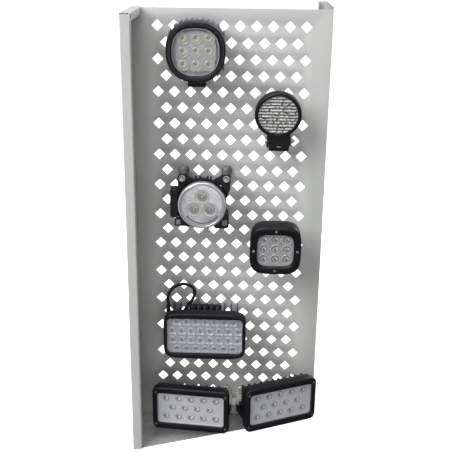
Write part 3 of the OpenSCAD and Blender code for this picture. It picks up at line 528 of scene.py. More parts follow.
# dark optic parts; in the corner lamps they are painted shade at the upper left of each optic
OPTIC_DARK = surface("optic_shade", (0.06, 0.06, 0.06), 0.18, vary=0.1, vary_scale=80.0, coat=0.4,
                     coat_rough=0.05, spec=0.6)
OLIVE = surface("olive_ring", (0.13, 0.13, 0.08), 0.28, vary=0.15, vary_scale=90.0, coat=0.3)
PHOSPHOR = surface("phosphor", (0.62, 0.62, 0.36), 0.3, vary=0.08, **SMALL_GLOSSY)
GLINT = surface("bright_glint", (0.88, 0.88, 0.86), 0.2, vary=0.03, **SMALL_GLOSSY)
BOARD = surface("circuit_board", (0.42, 0.44, 0.38), 0.4, vary_scale=60.0, speck=0.1, speck_scale=1500.0)
LENS = clear("lens_clear", (0.80, 0.81, 0.84), 0.06, 0.55, 0.06)
LENS_CLOUDY = clear("lens_cloudy", (0.80, 0.81, 0.82), 0.10, 0.6, 0.08, ripple=0.2)
# the round lamp's ribbed glass: a bright copy as painted highlight, a dark copy as painted shade
LENS_RIB_PAINTED_HIGHLIGHT = clear("lens_rib_painted_highlight", (0.97, 0.97, 0.96), 0.62, 0.85, 0.10, flecks=(0.10, 0.10, 0.08))
LENS_RIB_PAINTED_SHADE = clear("lens_rib_painted_shade", (0.035, 0.035, 0.03), 0.74, 0.85, 0.12, flecks=(0.20, 0.20, 0.17))
RIM_GREY = surface("rim_grey", (0.30, 0.30, 0.32), 0.2, metal=0.2, vary=0.08, vary_scale=50.0, coat=0.6,
                   coat_rough=0.05)
# bright rims, and a painted highlight on the round lamp's foot
LENS_RIM_AND_HIGHLIGHT = surface("lens_rim_and_painted_highlight", (0.60, 0.61, 0.63), 0.16, metal=0.25, vary=0.05, vary_scale=50.0,
                   coat=0.7, coat_rough=0.04)


# ---------------------------------------------------------------- the wide lamp's lead
WIDE_HOLE = Vector(JOINT["wide_lamp_swivel"])
CABLE_ROUTE = [
    (-73, -37, 66), (-74, -35, 76), (-71, -29, 85), (-64, -23, 92), (-54, -18, 96),
    (-42, -15, 97), (-31, -14, 93), (-24, -14, 86), (-22, -14, 77), (-25, -15, 67),
    (-32, -16, 56), (-40, -16, 45), (-45, -16, 34), (-47, -16, 23), (-47, -16, 14),
]
CABLE_D = 6.2


def smooth_route(points):
    """The same smooth curve through the points as the CAD's lead follows."""
    pts = [Vector(p) for p in points]
    out = []
    for i in range(len(pts) - 1):
        p0, p1, p2, p3 = pts[max(i - 1, 0)], pts[i], pts[i + 1], pts[min(i + 2, len(pts) - 1)]
        for k in range(6):
            u = k / 6
            out.append(0.5 * (2 * p1 + (p2 - p0) * u + (2 * p0 - 5 * p1 + 4 * p2 - p3) * u * u
                              + (3 * p1 - p0 - 3 * p2 + p3) * u ** 3))
    return out + [pts[-1]]


route = [(WIDE_HOLE + p) * MM for p in smooth_route(CABLE_ROUTE)]
cable_curve = bpy.data.curves.new("wide_lamp_lead", "CURVE")
cable_curve.dimensions = "3D"
cable_curve.bevel_depth = CABLE_D / 2 * MM
cable_curve.bevel_resolution = 5
cable_curve.use_fill_caps = True
cable_line = cable_curve.splines.new("POLY")
cable_line.points.add(len(route) - 1)
for point, place in zip(cable_line.points, route):
    point.co = (*place, 1)
cable_line.use_smooth = True
cable = bpy.data.objects.new("wide_lamp_lead", cable_curve)
cable.data.materials.append(RUBBER)
scene.collection.objects.link(cable)
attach(cable, "wide_lamp")
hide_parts("wide_lamp_cable")

# the gland's nut and the ribbed boot above it
b = Build()
gland = WIDE_HOLE + Vector(CABLE_ROUTE[0])
hex_block(b, gland, "z", -33.2, -25.4, 9.8)
boot = [(4.9, -26), (4.9, -24.4), (4.3, -23.6), (4.3, -22.4), (4.7, -22), (4.7, -20.6),
        (4.1, -20), (4.1, -18.4), (4.5, -18), (4.5, -16.6), (3.9, -16), (3.9, -14.4),
        (4.2, -14), (4.2, -12.6), (3.6, -12), (3.6, -10.2), (3.9, -9.8), (3.9, -8.4),
        (3.3, -7.8), (3.3, -5.8), (3.4, -5.2), (3.4, -3.8), (3.1, -3), (2.9, -0.1)]
lathe(b, boot, gland, "z", 28, 1)
piece(b, "wide_lamp_lead_boot", [CAST, RUBBER], "wide_lamp", ["wide_lamp_cable_gland"])

# the connector: a body, a step, a latch and a collar
b = Build()
ex, ey, ez = WIDE_HOLE + Vector(CABLE_ROUTE[-1])
block(b, (ex - 7, ey - 4.5, ez - 26), (ex + 7, ey + 4.5, ez - 9), 2.2, 0, "z", 0.8)
block(b, (ex - 6.2, ey - 3.9, ez - 9), (ex + 6.2, ey + 3.9, ez - 4), 2.0, 0, "z", 0.8)
block(b, (ex - 2.5, ey - 4.6, ez - 22), (ex + 2.5, ey - 3.6, ez - 12), 0.8, 0, "z", 0.3)
collar = [(4, -4.2), (4, -2.6), (3.4, -2.2), (3.7, -1.6), (3.7, -0.8), (3.1, -0.1)]
lathe(b, collar, (ex, ey, ez), "z", 24, 1)
plug_mats = [PLASTIC, RUBBER]
connector = piece(b, "wide_lamp_plug", plug_mats, "wide_lamp", ["wide_lamp_connector"])


# ---------------------------------------------------------------- rack
HALF = 182.0
PANEL_H = 843.0
SHEET = 1.5
BASE = 2.0
DEPTH = 136.0
STRIP = 18.0
LIP = 14.0
PITCH = 30.0
HOLE_HALF = 15.0 / math.sqrt(2)
FIRST = 32.0
ROWS = 27

b = Build()
holes = []
for row in range(ROWS):
    count = 10 - row % 2
    for i in range(count):
        diamond = shift(arc(HOLE_HALF, -90, 180, 3), (i - (count - 1) / 2) * PITCH, FIRST + row * PITCH)
        holes.append(rounded_poly(diamond, 0.7, 2))
holed_plate(b, box_poly(-HALF + SHEET, BASE, HALF - SHEET, PANEL_H), holes, 0, SHEET, 0.22)
piece(b, "panel_sheet", [PAINT], "rack", ["perforated_panel"])

b = Build()
prism(b, [(-HALF, -DEPTH), (HALF, 0), (HALF, DEPTH), (-HALF, 2 * SHEET)], "z", 0, BASE, 0.35)
piece(b, "base_tray", [TRAY_PAINT_WITH_SHADE], "rack", ["base_plate"])

# each cheek's section and the left cheek's cap, as the middle line of the sheet
mid = SHEET / 2
wall = HALF - mid
lip = HALF - STRIP + mid
cap_top = PANEL_H + 2
cap_foot = cap_top - 2.6
left_line = [(-lip, -DEPTH + LIP), (-lip, -DEPTH + mid), (-wall, -DEPTH + mid), (-wall, 2 * SHEET - mid),
             (-HALF + STRIP, 2 * SHEET - mid)]
cap_line = [(-lip, cap_top - LIP), (-lip, cap_top - mid), (-wall, cap_top - mid), (-wall, cap_foot)]
right_line = [(wall, 0), (wall, DEPTH - mid), (lip, DEPTH - mid), (lip, DEPTH - LIP)]
b = Build()
prism(b, sheet_outline(left_line, SHEET, 1.9), "z", BASE, cap_foot, 0.25)
prism(b, sheet_outline(cap_line, SHEET, 1.8), "y", -DEPTH, 0, 0.25)
piece(b, "cheek_left", [PAINT], "rack", ["left_cheek"])

b = Build()
prism(b, sheet_outline(right_line, SHEET, 1.9), "z", BASE, PANEL_H + 5, 0.25)
prism(b, box_poly(HALF - STRIP, SHEET, HALF - SHEET - 0.02, 2 * SHEET), "z", BASE, PANEL_H, 0.2)
piece(b, "cheek_right", [PAINT], "rack", ["right_cheek"])


# ---------------------------------------------------------------- fasteners in the panel
def washer(b, c, bore, flat, r, t, side, n, mat=0):
    """A washer 1.6 thick, flat out to one radius and r at its rim; it lies on the given side of t."""
    rows = [(bore, 0), (flat, 0), (r, 0.3), (r, 1.3), (flat, 1.6), (bore, 1.6)]
    lathe(b, [(radius, t + side * far) for radius, far in rows], c, n=n, mat=mat, ring=True)


def mount_set(b, hole, front_washer):
    """An M8 bolt through a bracket and the panel, with its washers and nut."""
    c = (hole[0], 0, hole[2])
    front = -4.6 if front_washer else -3.0
    hex_block(b, c, "y", front - 5.28, front, 12.8, turn=11)
    if front_washer:
        washer(b, c, 4.1, 8.2, 8.5, -3, -1, 36)
    washer(b, c, 4.1, 11.7, 12.1, 1.5, 1, 40)
    hex_block(b, c, "y", 9.5, 3.1, 12.8, bore=4.05, turn=24)
    thread(b, c, "y", 3.0, 12.5, 4.0, 1.25)
    lathe(b, [(3.9, -3), (3.9, 3)], c, n=20)


HEAD_C = Vector((-48.5, 0.0, 498.0))
b = Build()
for name in ("top", "round", "square", "wide", "left", "right"):
    mount_set(b, JOINT[name + "_lamp_swivel"], name not in ("left", "right"))
for side in (-1, 1):
    c = (HEAD_C.x + 2.5 + side * 41, 0, HEAD_C.z + 44)
    lathe(b, [(7.7, -58), (7.7, -59.4), (7.3, -60), (5.4, -60)], c, mat=1)
    socket_head(b, (c[0], -64, c[2]), 4.7, 4.2, 5.0, 2.6, mat=1)
    lathe(b, [(2.95, -59), (2.95, 2)], c, n=20, mat=1)
    washer(b, c, 3.1, 14.7, 15, 1.5, 1, 40, 1)
    hex_block(b, c, "y", 7.9, 3.1, 9.6, 1, bore=3.05)
    thread(b, c, "y", 3.0, 10.9, 3.0, 1.0, 1)
piece(b, "panel_bolts", [ZINC, CHROME], "rack", ["panel_fasteners"])


# ---------------------------------------------------------------- brackets and pivot bolts
def mount_piece(b, name, label, mat, part):
    piece(b, name + "_" + label, [mat], name + "_mount", [name + "_" + part])


def pivot_bolt(name, c, axis, outer, side, turn):
    """An M6 bolt through the ears, which reach outer each way; its nut is on the side given."""
    b = Build()
    hex_block(b, c, axis, -side * (outer + 3.96), -side * outer, 9.6, turn=turn)
    lathe(b, [(2.98, -outer), (2.98, outer)], c, axis, 24)
    hex_block(b, c, axis, side * (outer + 4.8), side * outer, 9.6, bore=3.03, turn=5)
    thread(b, c, axis, side * outer, side * (outer + 7.8), 3.0, 1.0)
    mount_piece(b, name, "pivot", ZINC, "pivot_bolt")


def level_mount(name, lug, reach, rise, ear):
    """A folded bracket with upright ears beside a lug, and the level bolt through them."""
    x, y, z = JOINT[name + "_swivel"]
    inner = lug / 2 + 0.3
    outer = inner + 3
    b = Build()
    foot = rounded_poly(box_poly(-outer, -13 + min(rise, 0), outer, 13 + max(rise, 0)), 2.5, 4)
    prism(b, shift(foot, x, z), "y", -3, 0, 0.4)
    ear_line = arc(ear, 90, 270, 15, -reach, rise)
    ear_line += [(-2.0, rise - ear), (-0.2, rise - ear), (-0.2, rise + ear)]
    for x0 in (x - outer, x + inner):
        prism(b, shift(ear_line, y, z), "x", x0, x0 + 3, 0.35)
    mount_piece(b, name, "yoke", BLACK_STEEL, "bracket")
    pivot_bolt(name, (x, -reach, z + rise), "x", outer, 1, 17)


def upright_mount(name):
    """A folded yoke with level ears above and below a lug, and the upright bolt through them."""
    x, y, z = JOINT[name + "_swivel"]
    inner = 8.3
    outer = inner + 3
    low = -20 - outer
    neck = low + 2 * inner + 6
    b = Build()
    plate = [(8.475 * p, 8.5 * q) for p, q in arc(1, 0, 180, 15)]
    plate += [(-7.5, -6), (-7.5, neck), (-11, neck - 0.5), (-11, low)]
    plate += [(11, low), (11, neck - 0.5), (7.5, neck), (7.5, -6)]
    prism(b, shift(plate, x, z), "y", -3, 0, 0.35)
    ear_line = arc(11, 180, 360, 15, 0, -35) + [(11, -0.3), (-11, -0.3)]
    for z0 in (z + low, z - 20 + inner):
        prism(b, shift(ear_line, x, y), "z", z0, z0 + 3, 0.35)
    mount_piece(b, name, "yoke", YOKE_ZINC, "bracket")
    pivot_bolt(name, (x, -35, z - 20), "z", outer, -1, 13)


level_mount("top_lamp", 25, 42, -4.5, 9)
level_mount("round_lamp", 37, 40, 10, 9)
level_mount("square_lamp", 31, 20, 0, 8)
level_mount("wide_lamp", 31, 20, 0, 8)
upright_mount("left_lamp")
upright_mount("right_lamp")


# ---------------------------------------------------------------- what the lamps share
def turned(pivot, local, axis="X", deg=0.0):
    """The place of a lamp's own frame: its pivot point carried to the pivot, turned by deg."""
    turn = Matrix.Rotation(math.radians(deg), 4, axis)
    return Matrix.Translation(Vector(pivot)) @ turn @ Matrix.Translation(-Vector(local))


class Shape:
    """An outline that can be grown: a superellipse of a power, or a rectangle with a corner radius."""

    def __init__(self, w, h, power=2.0, low=None, corner=0.0, k=7, rise=0.0):
        self.w, self.h, self.power, self.low = w, h, power, low
        self.corner, self.k, self.rise = corner, k, rise

    def line(self, grow):
        w, h = self.w + 2 * grow, self.h + 2 * grow
        if self.corner:
            return rounded(w, h, self.corner + grow, self.k)
        return superell(w, h, self.power, self.low)

    def loops(self, rows):
        """Loops for loft, from rows of (growth, y)."""
        return [[(x, y, z + self.rise) for x, z in self.line(grow)] for grow, y in rows]

    def half_height(self, x, grow):
        """Half the height at x, for a superellipse whose halves are alike."""
        w, h = self.w / 2 + grow, self.h / 2 + grow
        return h * (1 - (abs(x) / w) ** self.power) ** (1 / self.power)


def bezel(b, outer, window, depth, land, dish, soft):
    """Front ring: rounded outside, a flat land, then a slope down to the lens."""
    outside = [(0, depth), (0, soft), (-0.25 * soft, 0.42 * soft), (-0.62 * soft, 0.12 * soft)]
    outside.append((-1.05 * soft, 0.0))
    inside = [(land, 0.0), (land - 0.6, 0.35), (0.7, dish), (0.0, 3.0), (2.2, 3.02), (2.2, depth)]
    loft(b, outer.loops(outside) + window.loops(inside), ring=True)


def turn_at(b, places, profile, n=32, mat=0, dx=0.0, dz=0.0):
    """The same turned shape at every place, moved by dx and dz."""
    for x, z in places:
        lathe(b, profile, (x + dx, 0, z + dz), n=n, mat=mat)


def square(x, z, half):
    return box_poly(x - half, z - half, x + half, z + half)


def board(b, window, places, size):
    """A circuit board with a source at each place: a pale square with a yellow window."""
    loft(b, window.loops([(1.9, 20), (1.9, 18)]))
    for x, z in places:
        prism(b, square(x, z, size / 2), "y", 17, 18, 0.15, 1)
        prism(b, square(x, z, size * 0.32), "y", 16.75, 17.05, 0.1, 2)


def fin_row(b, count, step, thick, r, outline):
    """Upright fins across x; outline gives the corners (y, z) of the fin at x."""
    for i in range(count):
        x = (i - (count - 1) / 2) * step
        prism(b, rounded_poly(outline(x), r, 3), "x", x - thick / 2, x + thick / 2, 0.45)


def grid(counts, step_x, step_z):
    """Places in rows, from the top row down."""
    out = []
    for j, count in enumerate(counts):
        z = ((len(counts) - 1) / 2 - j) * step_z
        out += [((i - (count - 1) / 2) * step_x, z) for i in range(count)]
    return out


def corners(dx, dz):
    return [(-dx, -dz), (dx, -dz), (-dx, dz), (dx, dz)]


class Lamp:
    """What a lamp's pieces have in common: its name, its place and the outlines of ring and window."""

    def __init__(self, name, place, outer, window):
        self.name, self.place, self.outer, self.window = name, place, outer, window

    def piece(self, b, label, mats, part, slot, angle=32):
        nodes = [self.name + "_" + part]
        piece(b, self.name + "_" + label, mats, self.name, nodes, self.place, angle)

    def front_ring(self, depth, land, dish, soft, screws=(), r=0.0):
        """The ring, with a round recess of radius r, its mouth chamfered, for each screw."""
        b = Build()
        bezel(b, self.outer, self.window, depth, land, dish, soft)
        mats = [SATIN, PLASTIC] if screws else [SATIN]
        if screws:
            cutter = Build()
            turn_at(cutter, screws, [(r + 1.3, -0.5), (r + 0.8, 0.0), (r, 0.8), (r, 2.0)], 28, 1)
            carve(b, mats, cutter)
        self.piece(b, "front_ring", mats, "bezel", "bezel_black")

    def front_glass(self, bulge, rim=False):
        """A clear plate whose face stands out by bulge, with or without a raised rim."""
        b = Build()
        half = min(self.window.w, self.window.h) / 2
        rows = [(1.9, 6.0), (1.9, 3.4), (1.5, 3.02), (-0.4, 3.0 - 0.1 * bulge)]
        rows += [(-half * k / 7, 3.0 - bulge * (1 - (1 - k / 7) ** 2)) for k in range(1, 7)]
        loft(b, self.window.loops(rows))
        if rim:
            loft(b, self.window.loops([(0.3, 3.0), (-0.1, 2.2), (-0.7, 2.1), (-1.3, 3.1)]), 1, ring=True)
        self.piece(b, "front_glass", [LENS, RIM_GREY] if rim else [LENS], "lens", "lens_clear")

    def source_board(self, places, size):
        b = Build()
        board(b, self.window, places, size)
        self.piece(b, "board", [BOARD, PALE, PHOSPHOR], "led_board", "board")


# ---------------------------------------------------------------- top lamp
outer = Shape(104, 103, 2.45, low=2.2)
window = Shape(82.5, 81, 2.5, low=2.45, rise=0.6)
top = Lamp("top_lamp", turned(JOINT["top_lamp_tilt"], (0, 44, -57.3)), outer, window)
screws = corners(0.342 * 104, 0.345 * 103)
top.front_ring(14, 3.0, 2.5, 2.4, screws, 3.1)
b = Build()
for x, z in screws:
    socket_head(b, (x, 0.6, z), 2.8, 1.3, 2.8, 0.9)
top.piece(b, "front_screws", [BLACK_STEEL], "screws", "screw_steel")
top.front_glass(1.0, rim=True)

b = Build()
places = shift(grid([3, 3, 3], 22.4, 22.4), 0, 0.6)
# a pan round the plate at the window's edge, coloured dark as painted shade
loft(b, window.loops([(1.9, 17.5), (1.9, 9), (0.3, 9), (-2.4, 12.0), (-3.0, 12.2)]), 5)
loft(b, window.loops([(-5.4, 17.4), (-5.4, 11.2), (-6.0, 10.7), (-6.6, 10.6)]), 2)
optic = [(11.1, 13), (11.1, 9.3), (10.8, 8.9), (10.0, 8.7), (9.4, 9.0), (8.4, 9.2), (7.2, 8.7), (5.2, 8.3),
         (2.6, 8.1), (0, 8.0)]
turn_at(b, places, optic, 36, [3, 3, 0, 3, 3, 3, 0, 0, 0])
# a dark disc set off to the upper left of each optic: painted shade
turn_at(b, places, [(3.6, 8.9), (3.4, 7.9), (2.6, 7.5), (0, 7.4)], 24, 1, -1.0, 2.6)
# a small pale disc set off to the lower right of each optic: painted highlight
turn_at(b, places, [(1.3, 8.6), (1.2, 7.9), (0, 7.7)], 16, 4, 2.2, -3.0)
optic_mats = [OPTIC_OLIVE, OPTIC_SPOT, LAVENDER, OPTIC_RIM_AND_HIGHLIGHT, PALE, LAVENDER_PAINTED_SHADE]
top.piece(b, "optics", optic_mats, "reflectors", "reflector_silver")
top.source_board(places, 4.5)

b = Build()
cup = Shape(100, 99, 2.45, low=2.2)
loft(b, cup.loops([(0, 14), (0, 20), (-1.2, 22.6), (-3.2, 24), (-8, 24)]))
tips = Shape(107, 108, 2.65)


def top_fin(x):
    """Two fins a side are cut short at the foot, over the bracket's ears and bolt."""
    h = tips.half_height(x, -0.1)
    low = -49.8 if 12 < abs(x) < 31 else -h
    cut = min(5, h * 0.5)
    return [(23.1, low), (60, low), (64, low + cut), (64, h - cut), (61.5, h - 1.2), (57, h), (23.1, h)]


fin_row(b, 11, 104 / 11, 2.4, 2.2, top_fin)
core = Shape(98, 94, 2.65, rise=5)
loft(b, core.loops([(0, 23.2), (0, 50), (-1.2, 53), (-4, 54), (-12, 54)]))
block(b, (-12.5, 23.3, -43.4), (12.5, 43.8, -30), 1.5, 1)
lug = arc(9, 180, 360, 15, 44, -57.3) + [(53, -30.2), (35, -30.2)]
prism(b, lug, "x", -12.5, 12.5, 0.6, 1)
top.piece(b, "body", [CAST_GREY, CAST], "housing", "housing_grey")


# ---------------------------------------------------------------- round lamp
outer = Shape(83.5, 83.5)
window = Shape(70, 70)
place = turned(JOINT["round_lamp_tilt"], (3.6, 29, -58.75), "X", 9)
round_lamp = Lamp("round_lamp", place, outer, window)
round_lamp.front_ring(14, 1.6, 2.6, 3.0)

# the glass: level ribs, each STEPS strips high and COLS wide; painted highlight above, painted shade below
GLASS_R = 34.9
RIBS = 12
STEPS = 8
COLS = 40
b = Build()
for j in range(RIBS * STEPS + 1):
    z = GLASS_R * 0.985 * (2 * j / (RIBS * STEPS) - 1)
    half = math.sqrt(GLASS_R ** 2 - z * z)
    y = 3.0 - 1.5 * math.sin(math.pi * (j % STEPS) / STEPS) ** 0.8
    for i in range(COLS + 1):
        u = -1 + 2 * i / COLS
        b.v.append((u * half, y + (0.5 if abs(u) > 0.96 else 0.0), z))
for j in range(RIBS * STEPS):
    first = j * (COLS + 1)
    above = first + COLS + 1
    b.f += [[first + i, first + i + 1, above + i + 1, above + i] for i in range(COLS)]
    # the lower half of each rib takes the painted shade, the upper half the painted highlight
    b.m += [2 if j % STEPS < STEPS // 2 else 0] * COLS
lathe(b, [(36, 6), (36, 3.2), (34.6, 3.0), (34.6, 6)], n=64, mat=1, ring=True)
round_lamp.piece(b, "front_glass", [LENS_RIB_PAINTED_HIGHLIGHT, LENS_RIM_AND_HIGHLIGHT, LENS_RIB_PAINTED_SHADE], "lens", "lens_clear", 60)

b = Build()
places = grid([2, 2], 25, 25)
board(b, window, places, 6)
loft(b, window.loops([(0.9, 17.9), (0.9, 8.2), (0.3, 8.0), (-1.5, 14.5), (-4, 15.5)]), 3)
turn_at(b, places, [(11.6, 13.2), (11.2, 8.2), (10.2, 8.6), (7.5, 12.0), (5.2, 14.2), (0, 14.3)], 28, 4)
turn_at(b, places, [(3.4, 14.6), (3.2, 12.9), (2.2, 11.9), (0, 11.5)], 20, 2)
round_lamp.piece(b, "optics", [BOARD, PALE, PHOSPHOR, SILVER, OLIVE], "led_board", "board")

b = Build()
cup = Shape(81.5, 81.5)
loft(b, cup.loops([(0, 14), (0, 19.5), (-1, 22), (-3, 24), (-6, 24)]))
tips = Shape(65.5, 65.5)


def round_fin(x):
    h = tips.half_height(x, -0.1)
    return [(23.1, -h), (48, -h), (52, -h + 4), (52, h - 6), (49.5, h - 2), (45, h), (23.1, h)]


fin_row(b, 7, 9, 2.0, 2.0, round_fin)
lathe(b, [(20.8, 23.2), (20.8, 36.5), (19, 37.9)], n=40)
foot = [(18, -26), (18, -69), (18.8, -74), (21.5, -76.7), (36.5, -76.7), (39.2, -74), (40, -69), (40, -26)]
prism(b, rounded_poly(foot, [0, 1, 1, 1.5, 1.5, 1, 1, 0], 3), "x", -14.9, 22.1, 0.7, 2)
for z in (-47, -54):
    block(b, (-10.9, 17.4, z - 2), (18.1, 18.4, z + 2), 1.2, 2, chamfer=0.3)
# a pale crescent on the foot's front face: painted highlight
prism(b, rounded_poly([(-2, -65), (4, -68), (10, -65), (4, -66)], 1.2, 4), "y", 17.3, 18.3, 0.2, 1)
round_lamp.piece(b, "body", [CAST_GREY, LENS_RIM_AND_HIGHLIGHT, CAST], "housing", "housing_grey")


# ---------------------------------------------------------------- headlamp
HEAD = Matrix.Translation(HEAD_C)
SHIFT_X = 2.5  # the carrier's upper corners stand this far to the right of the lamp's middle


def head_piece(b, label, mats, part, body="headlamp_module"):
    piece(b, "headlamp_" + label, mats, body, ["headlamp_" + part], HEAD)


def carrier_part(b, corner_line, r, k, front, back, chamfer):
    prism(b, rounded_poly(corner_line, r, k), "y", front, back, chamfer)


b = Build()
holed_plate(b, circle(43.7, 60), [circle(37, 60)[::-1]], -58, -50, 0.6)
leg = [(8.4, -50.2), (8.4, -44), (7.6, -42.5), (7.6, -7), (8.4, -5.5), (8.4, -0.1)]
eye = [(8.4, -50), (8.4, -60.2), (7.9, -60.6), (6.6, -60.6), (6.2, -60.0), (6.2, -57.5), (0, -57.5)]
for s in (-1, 1):
    ear = [(s * 16, 40), (s * 31, 31.5), (s * 40 - SHIFT_X / 2, 16), (s * 43 - SHIFT_X, 4), (s * 48.5, 24),
           (s * 49.2, 34), (s * 49.3, 46), (s * 45.5, 52.3), (s * 34, 52.3), (s * 28, 47)]
    brace = [(s * 34, 41), (s * 37.5, 22), (s * 40.5, 22), (s * 43, 36)]
    carrier_part(b, shift(ear, SHIFT_X, 0)[::s], 2.0, 3, -58, -50, 0.7)
    turn_at(b, [(s * 41 + SHIFT_X, 44)], eye)
    carrier_part(b, shift(brace, SHIFT_X, 0)[::s], 0.8, 2, -59.6, -57.5, 0.4)
    turn_at(b, [(s * 41 + SHIFT_X, 44), (s * 38, -40)], leg)
right_lug = [(14, -38), (31, -31), (41, -14), (44, -22), (48.8, -27), (48.8, -50), (45, -53.8), (23, -53.8)]
left_lug = [(-14, -38), (-24, -50.8), (-53.6, -49.8), (-52.8, -36.2), (-46, -34.7), (-46, -28), (-41, -14),
            (-31, -31)]
for lug in (right_lug, left_lug):
    carrier_part(b, lug[::-1], 2.0, 3, -58, -50, 0.7)
# framed grey inserts in the windows of the lower lugs
for x0, z0, x1, z1 in ((36.2, -47.5, 45.8, -37), (-50.4, -46.6, -42.2, -37.6)):
    line = box_poly(x0, z0, x1, z1)
    prism(b, inset(line, -1.2), "y", -58.9, -57.6, 0.4)
    prism(b, line, "y", -59.5, -58.3, 0.35, 1)
    prism(b, inset(line, 3.4), "y", -59.9, -59.2, 0.25, 1)
for x in (-13, -5, 9, 15):
    carrier_part(b, box_poly(x - 1.6, 40, x + 1.6, 47.5), 0.8, 2, -57, -52, 0.5)
block(b, (-46.5, -58, -22), (-40, -50, 12), 1.0)
head_piece(b, "carrier", [PLASTIC, SMOKE], "frame", "rack")

b = Build()
cap = [(8.45, 0.05), (8.45, 5.4)] + arc(8.55, 0, 80, 8, 0, 6.2) + [(0, 14.75)]
for side in (-1, 1):
    cx, cy, cz = side * 40 + SHIFT_X, -49.4, 52.5
    lathe(b, cap, (cx, cy, cz), "z", 40)
    for x, y in shift(circle(8.1, 12), cx, cy):
        block(b, (x - 0.4, y - 0.4, cz + 0.2), (x + 0.4, y + 0.4, cz + 5.6), 0.2, axis="z", chamfer=0.2)
head_piece(b, "aim_caps", [CAP_GREY], "adjuster_caps", "rack")

b = Build()
block(b, (-61, -59.6, -33), (-46.5, -34, 22), 1.6, axis="z", chamfer=0.8)
for z in range(-28, 20, 6):
    block(b, (-60.5, -60.0, z), (-47, -59.3, z + 2.2), 0.3, chamfer=0.2)
    block(b, (-61.5, -58, z), (-60.7, -36, z + 2.2), 0.2, axis="x", chamfer=0.15)
head_piece(b, "driver", [PLASTIC], "driver_box", "rack")

b = Build()
bowl = [(44.7, -78), (44.7, -74.2), (43.9, -73.6), (42.2, -73.2), (40.4, -72), (36.4, -64.2), (35.4, -62),
        (32, -60.8), (32, -42), (31, -41), (0, -41)]
lathe(b, bowl, n=72)
for cos, sin in circle(1, 18, 10):
    line = [(x * cos - z * sin, x * sin + z * cos) for x, z in box_poly(32, -0.9, 42, 0.9)]
    prism(b, line, "y", -73, -65.2, 0.3)
tips = Shape(64, 64)


def head_fin(x):
    h = tips.half_height(x, -0.6)
    return [(-42, -h), (-18, -h), (-16.2, -h + 3), (-16.2, h - 3), (-18, h), (-42, h)]


fin_row(b, 6, 9, 2.0, 1.5, head_fin)
for side, x0 in ((-1, -29), (1, 20)):
    block(b, (x0, -46, -46), (x0 + 9, -34, -16), 1.2, axis="x")
    lathe(b, [(2.98, 28.5 * side), (2.98, 43.6 * side), (2.5, 44 * side)], (0, -40, -40), "x", 24)
head_piece(b, "body", [PLASTIC], "housing")

b = Build()
rim = [(44.6, -78.1), (44.6, -84.5), (44.1, -86.2), (43.2, -87.2), (42.3, -87.6), (41.7, -86.9),
       (41.7, -78.1)]
lathe(b, rim, n=96, mat=[2, 2, 1, 1, 2, 2, 2], ring=True)
glass = [(41.6, -78.2), (41.6, -87.0), (40.9, -88.0), (38.6, -88.6), (30, -89.3), (20, -89.7), (10, -89.9),
         (0, -89.95)]
lathe(b, glass, n=96)
head_piece(b, "front_glass", [LENS_CLOUDY, LENS_RIM_AND_HIGHLIGHT, RIM_GREY], "lens")

# the optics, their distances measured from the plate's face
FACE = -83.0
b = Build()
plate = [(41.2, 6.8), (41.2, -2.6), (40.3, -3.0), (39.5, -2.4), (38.6, 0), (38.0, 0.2), (37.2, 0.2),
         (36.6, 0), (0, 0)]
optic = [(14.4, 2), (14.4, -0.5), (14.0, -1.0), (13.3, -1.1), (12.4, -0.6), (9.2, -0.3), (8.6, -1.0),
         (7.8, -1.3), (5.4, -1.6), (3.0, -1.9), (0, -2.0)]
spot_eye = [(6.6, 0), (6.4, -1.8), (4.4, -2.2), (0, -2.3)]
head_leds = circle(16.8, 3, 90)
turn_at(b, [(0, 0)], shift(plate, 0, FACE), 96, [3, 3, 3, 7, 7, 3, 3, 0, 0])
turn_at(b, head_leds, shift(optic, 0, FACE), 48, [6, 6, 6, 1, 1, 8, 8, 2, 2, 2])
turn_at(b, head_leds, shift(spot_eye, 0, FACE), 28, 5, -0.6, 0.4)
for x, z in head_leds:
    prism(b, square(x, z, 1.4), "y", FACE - 2.6, FACE - 1.5, 0.25, 2)
crescent = arc(36.2, 215, 325, 40) + arc(33.7, 325, 215, 40)
prism(b, crescent, "y", FACE - 0.9, FACE - 0.05, 0.25, 4)
head_mats = [CLOUDY, OPTIC_GREY, OPTIC_OLIVE, SILVER, OPTIC_DARK, OPTIC_SPOT, OPTIC_RIM_AND_HIGHLIGHT, SMOKE, OLIVE]
head_piece(b, "optics", head_mats, "reflectors")
b = Build()
lathe(b, [(41.4, -76), (41.4, -74.05)], n=64)
head_piece(b, "board", [BOARD], "led_board")


# ---------------------------------------------------------------- square lamp
outer = Shape(96, 100, 3.9)
window = Shape(68, 66.5, 4.4)
place = turned(JOINT["square_lamp_tilt"], (1, 70.5, 1.5), "X", 7)
square_lamp = Lamp("square_lamp", place, outer, window)
screws = [(-0.427 * 96, 0), (0.427 * 96, 0), (0, -0.415 * 100), (0, 0.415 * 100)]
square_lamp.front_ring(14, 2.6, 2.7, 3.6, screws, 2.9)
b = Build()
for (x, z), turn in zip(screws, (35, -10, 80, 10)):
    slot_head(b, (x, 0.5, z), 2.3, 1.4, turn)
square_lamp.piece(b, "front_screws", [PLAIN_STEEL], "screws", "screw_steel")
square_lamp.front_glass(0.5)

b = Build()
places = grid([3, 3, 3], 21.4, 20.6)
loft(b, window.loops([(1.9, 17.5), (1.9, 8.6), (0.4, 8.4), (-0.8, 9.4), (-1.6, 9.6)]), 3)
optic = [(9.9, 11), (9.9, 8.9), (9.5, 8.5), (8.8, 8.5), (8.2, 9.0), (7.8, 9.0), (0, 9.0)]
turn_at(b, places, optic, 32, [0, 0, 0, 0, 1, 1])
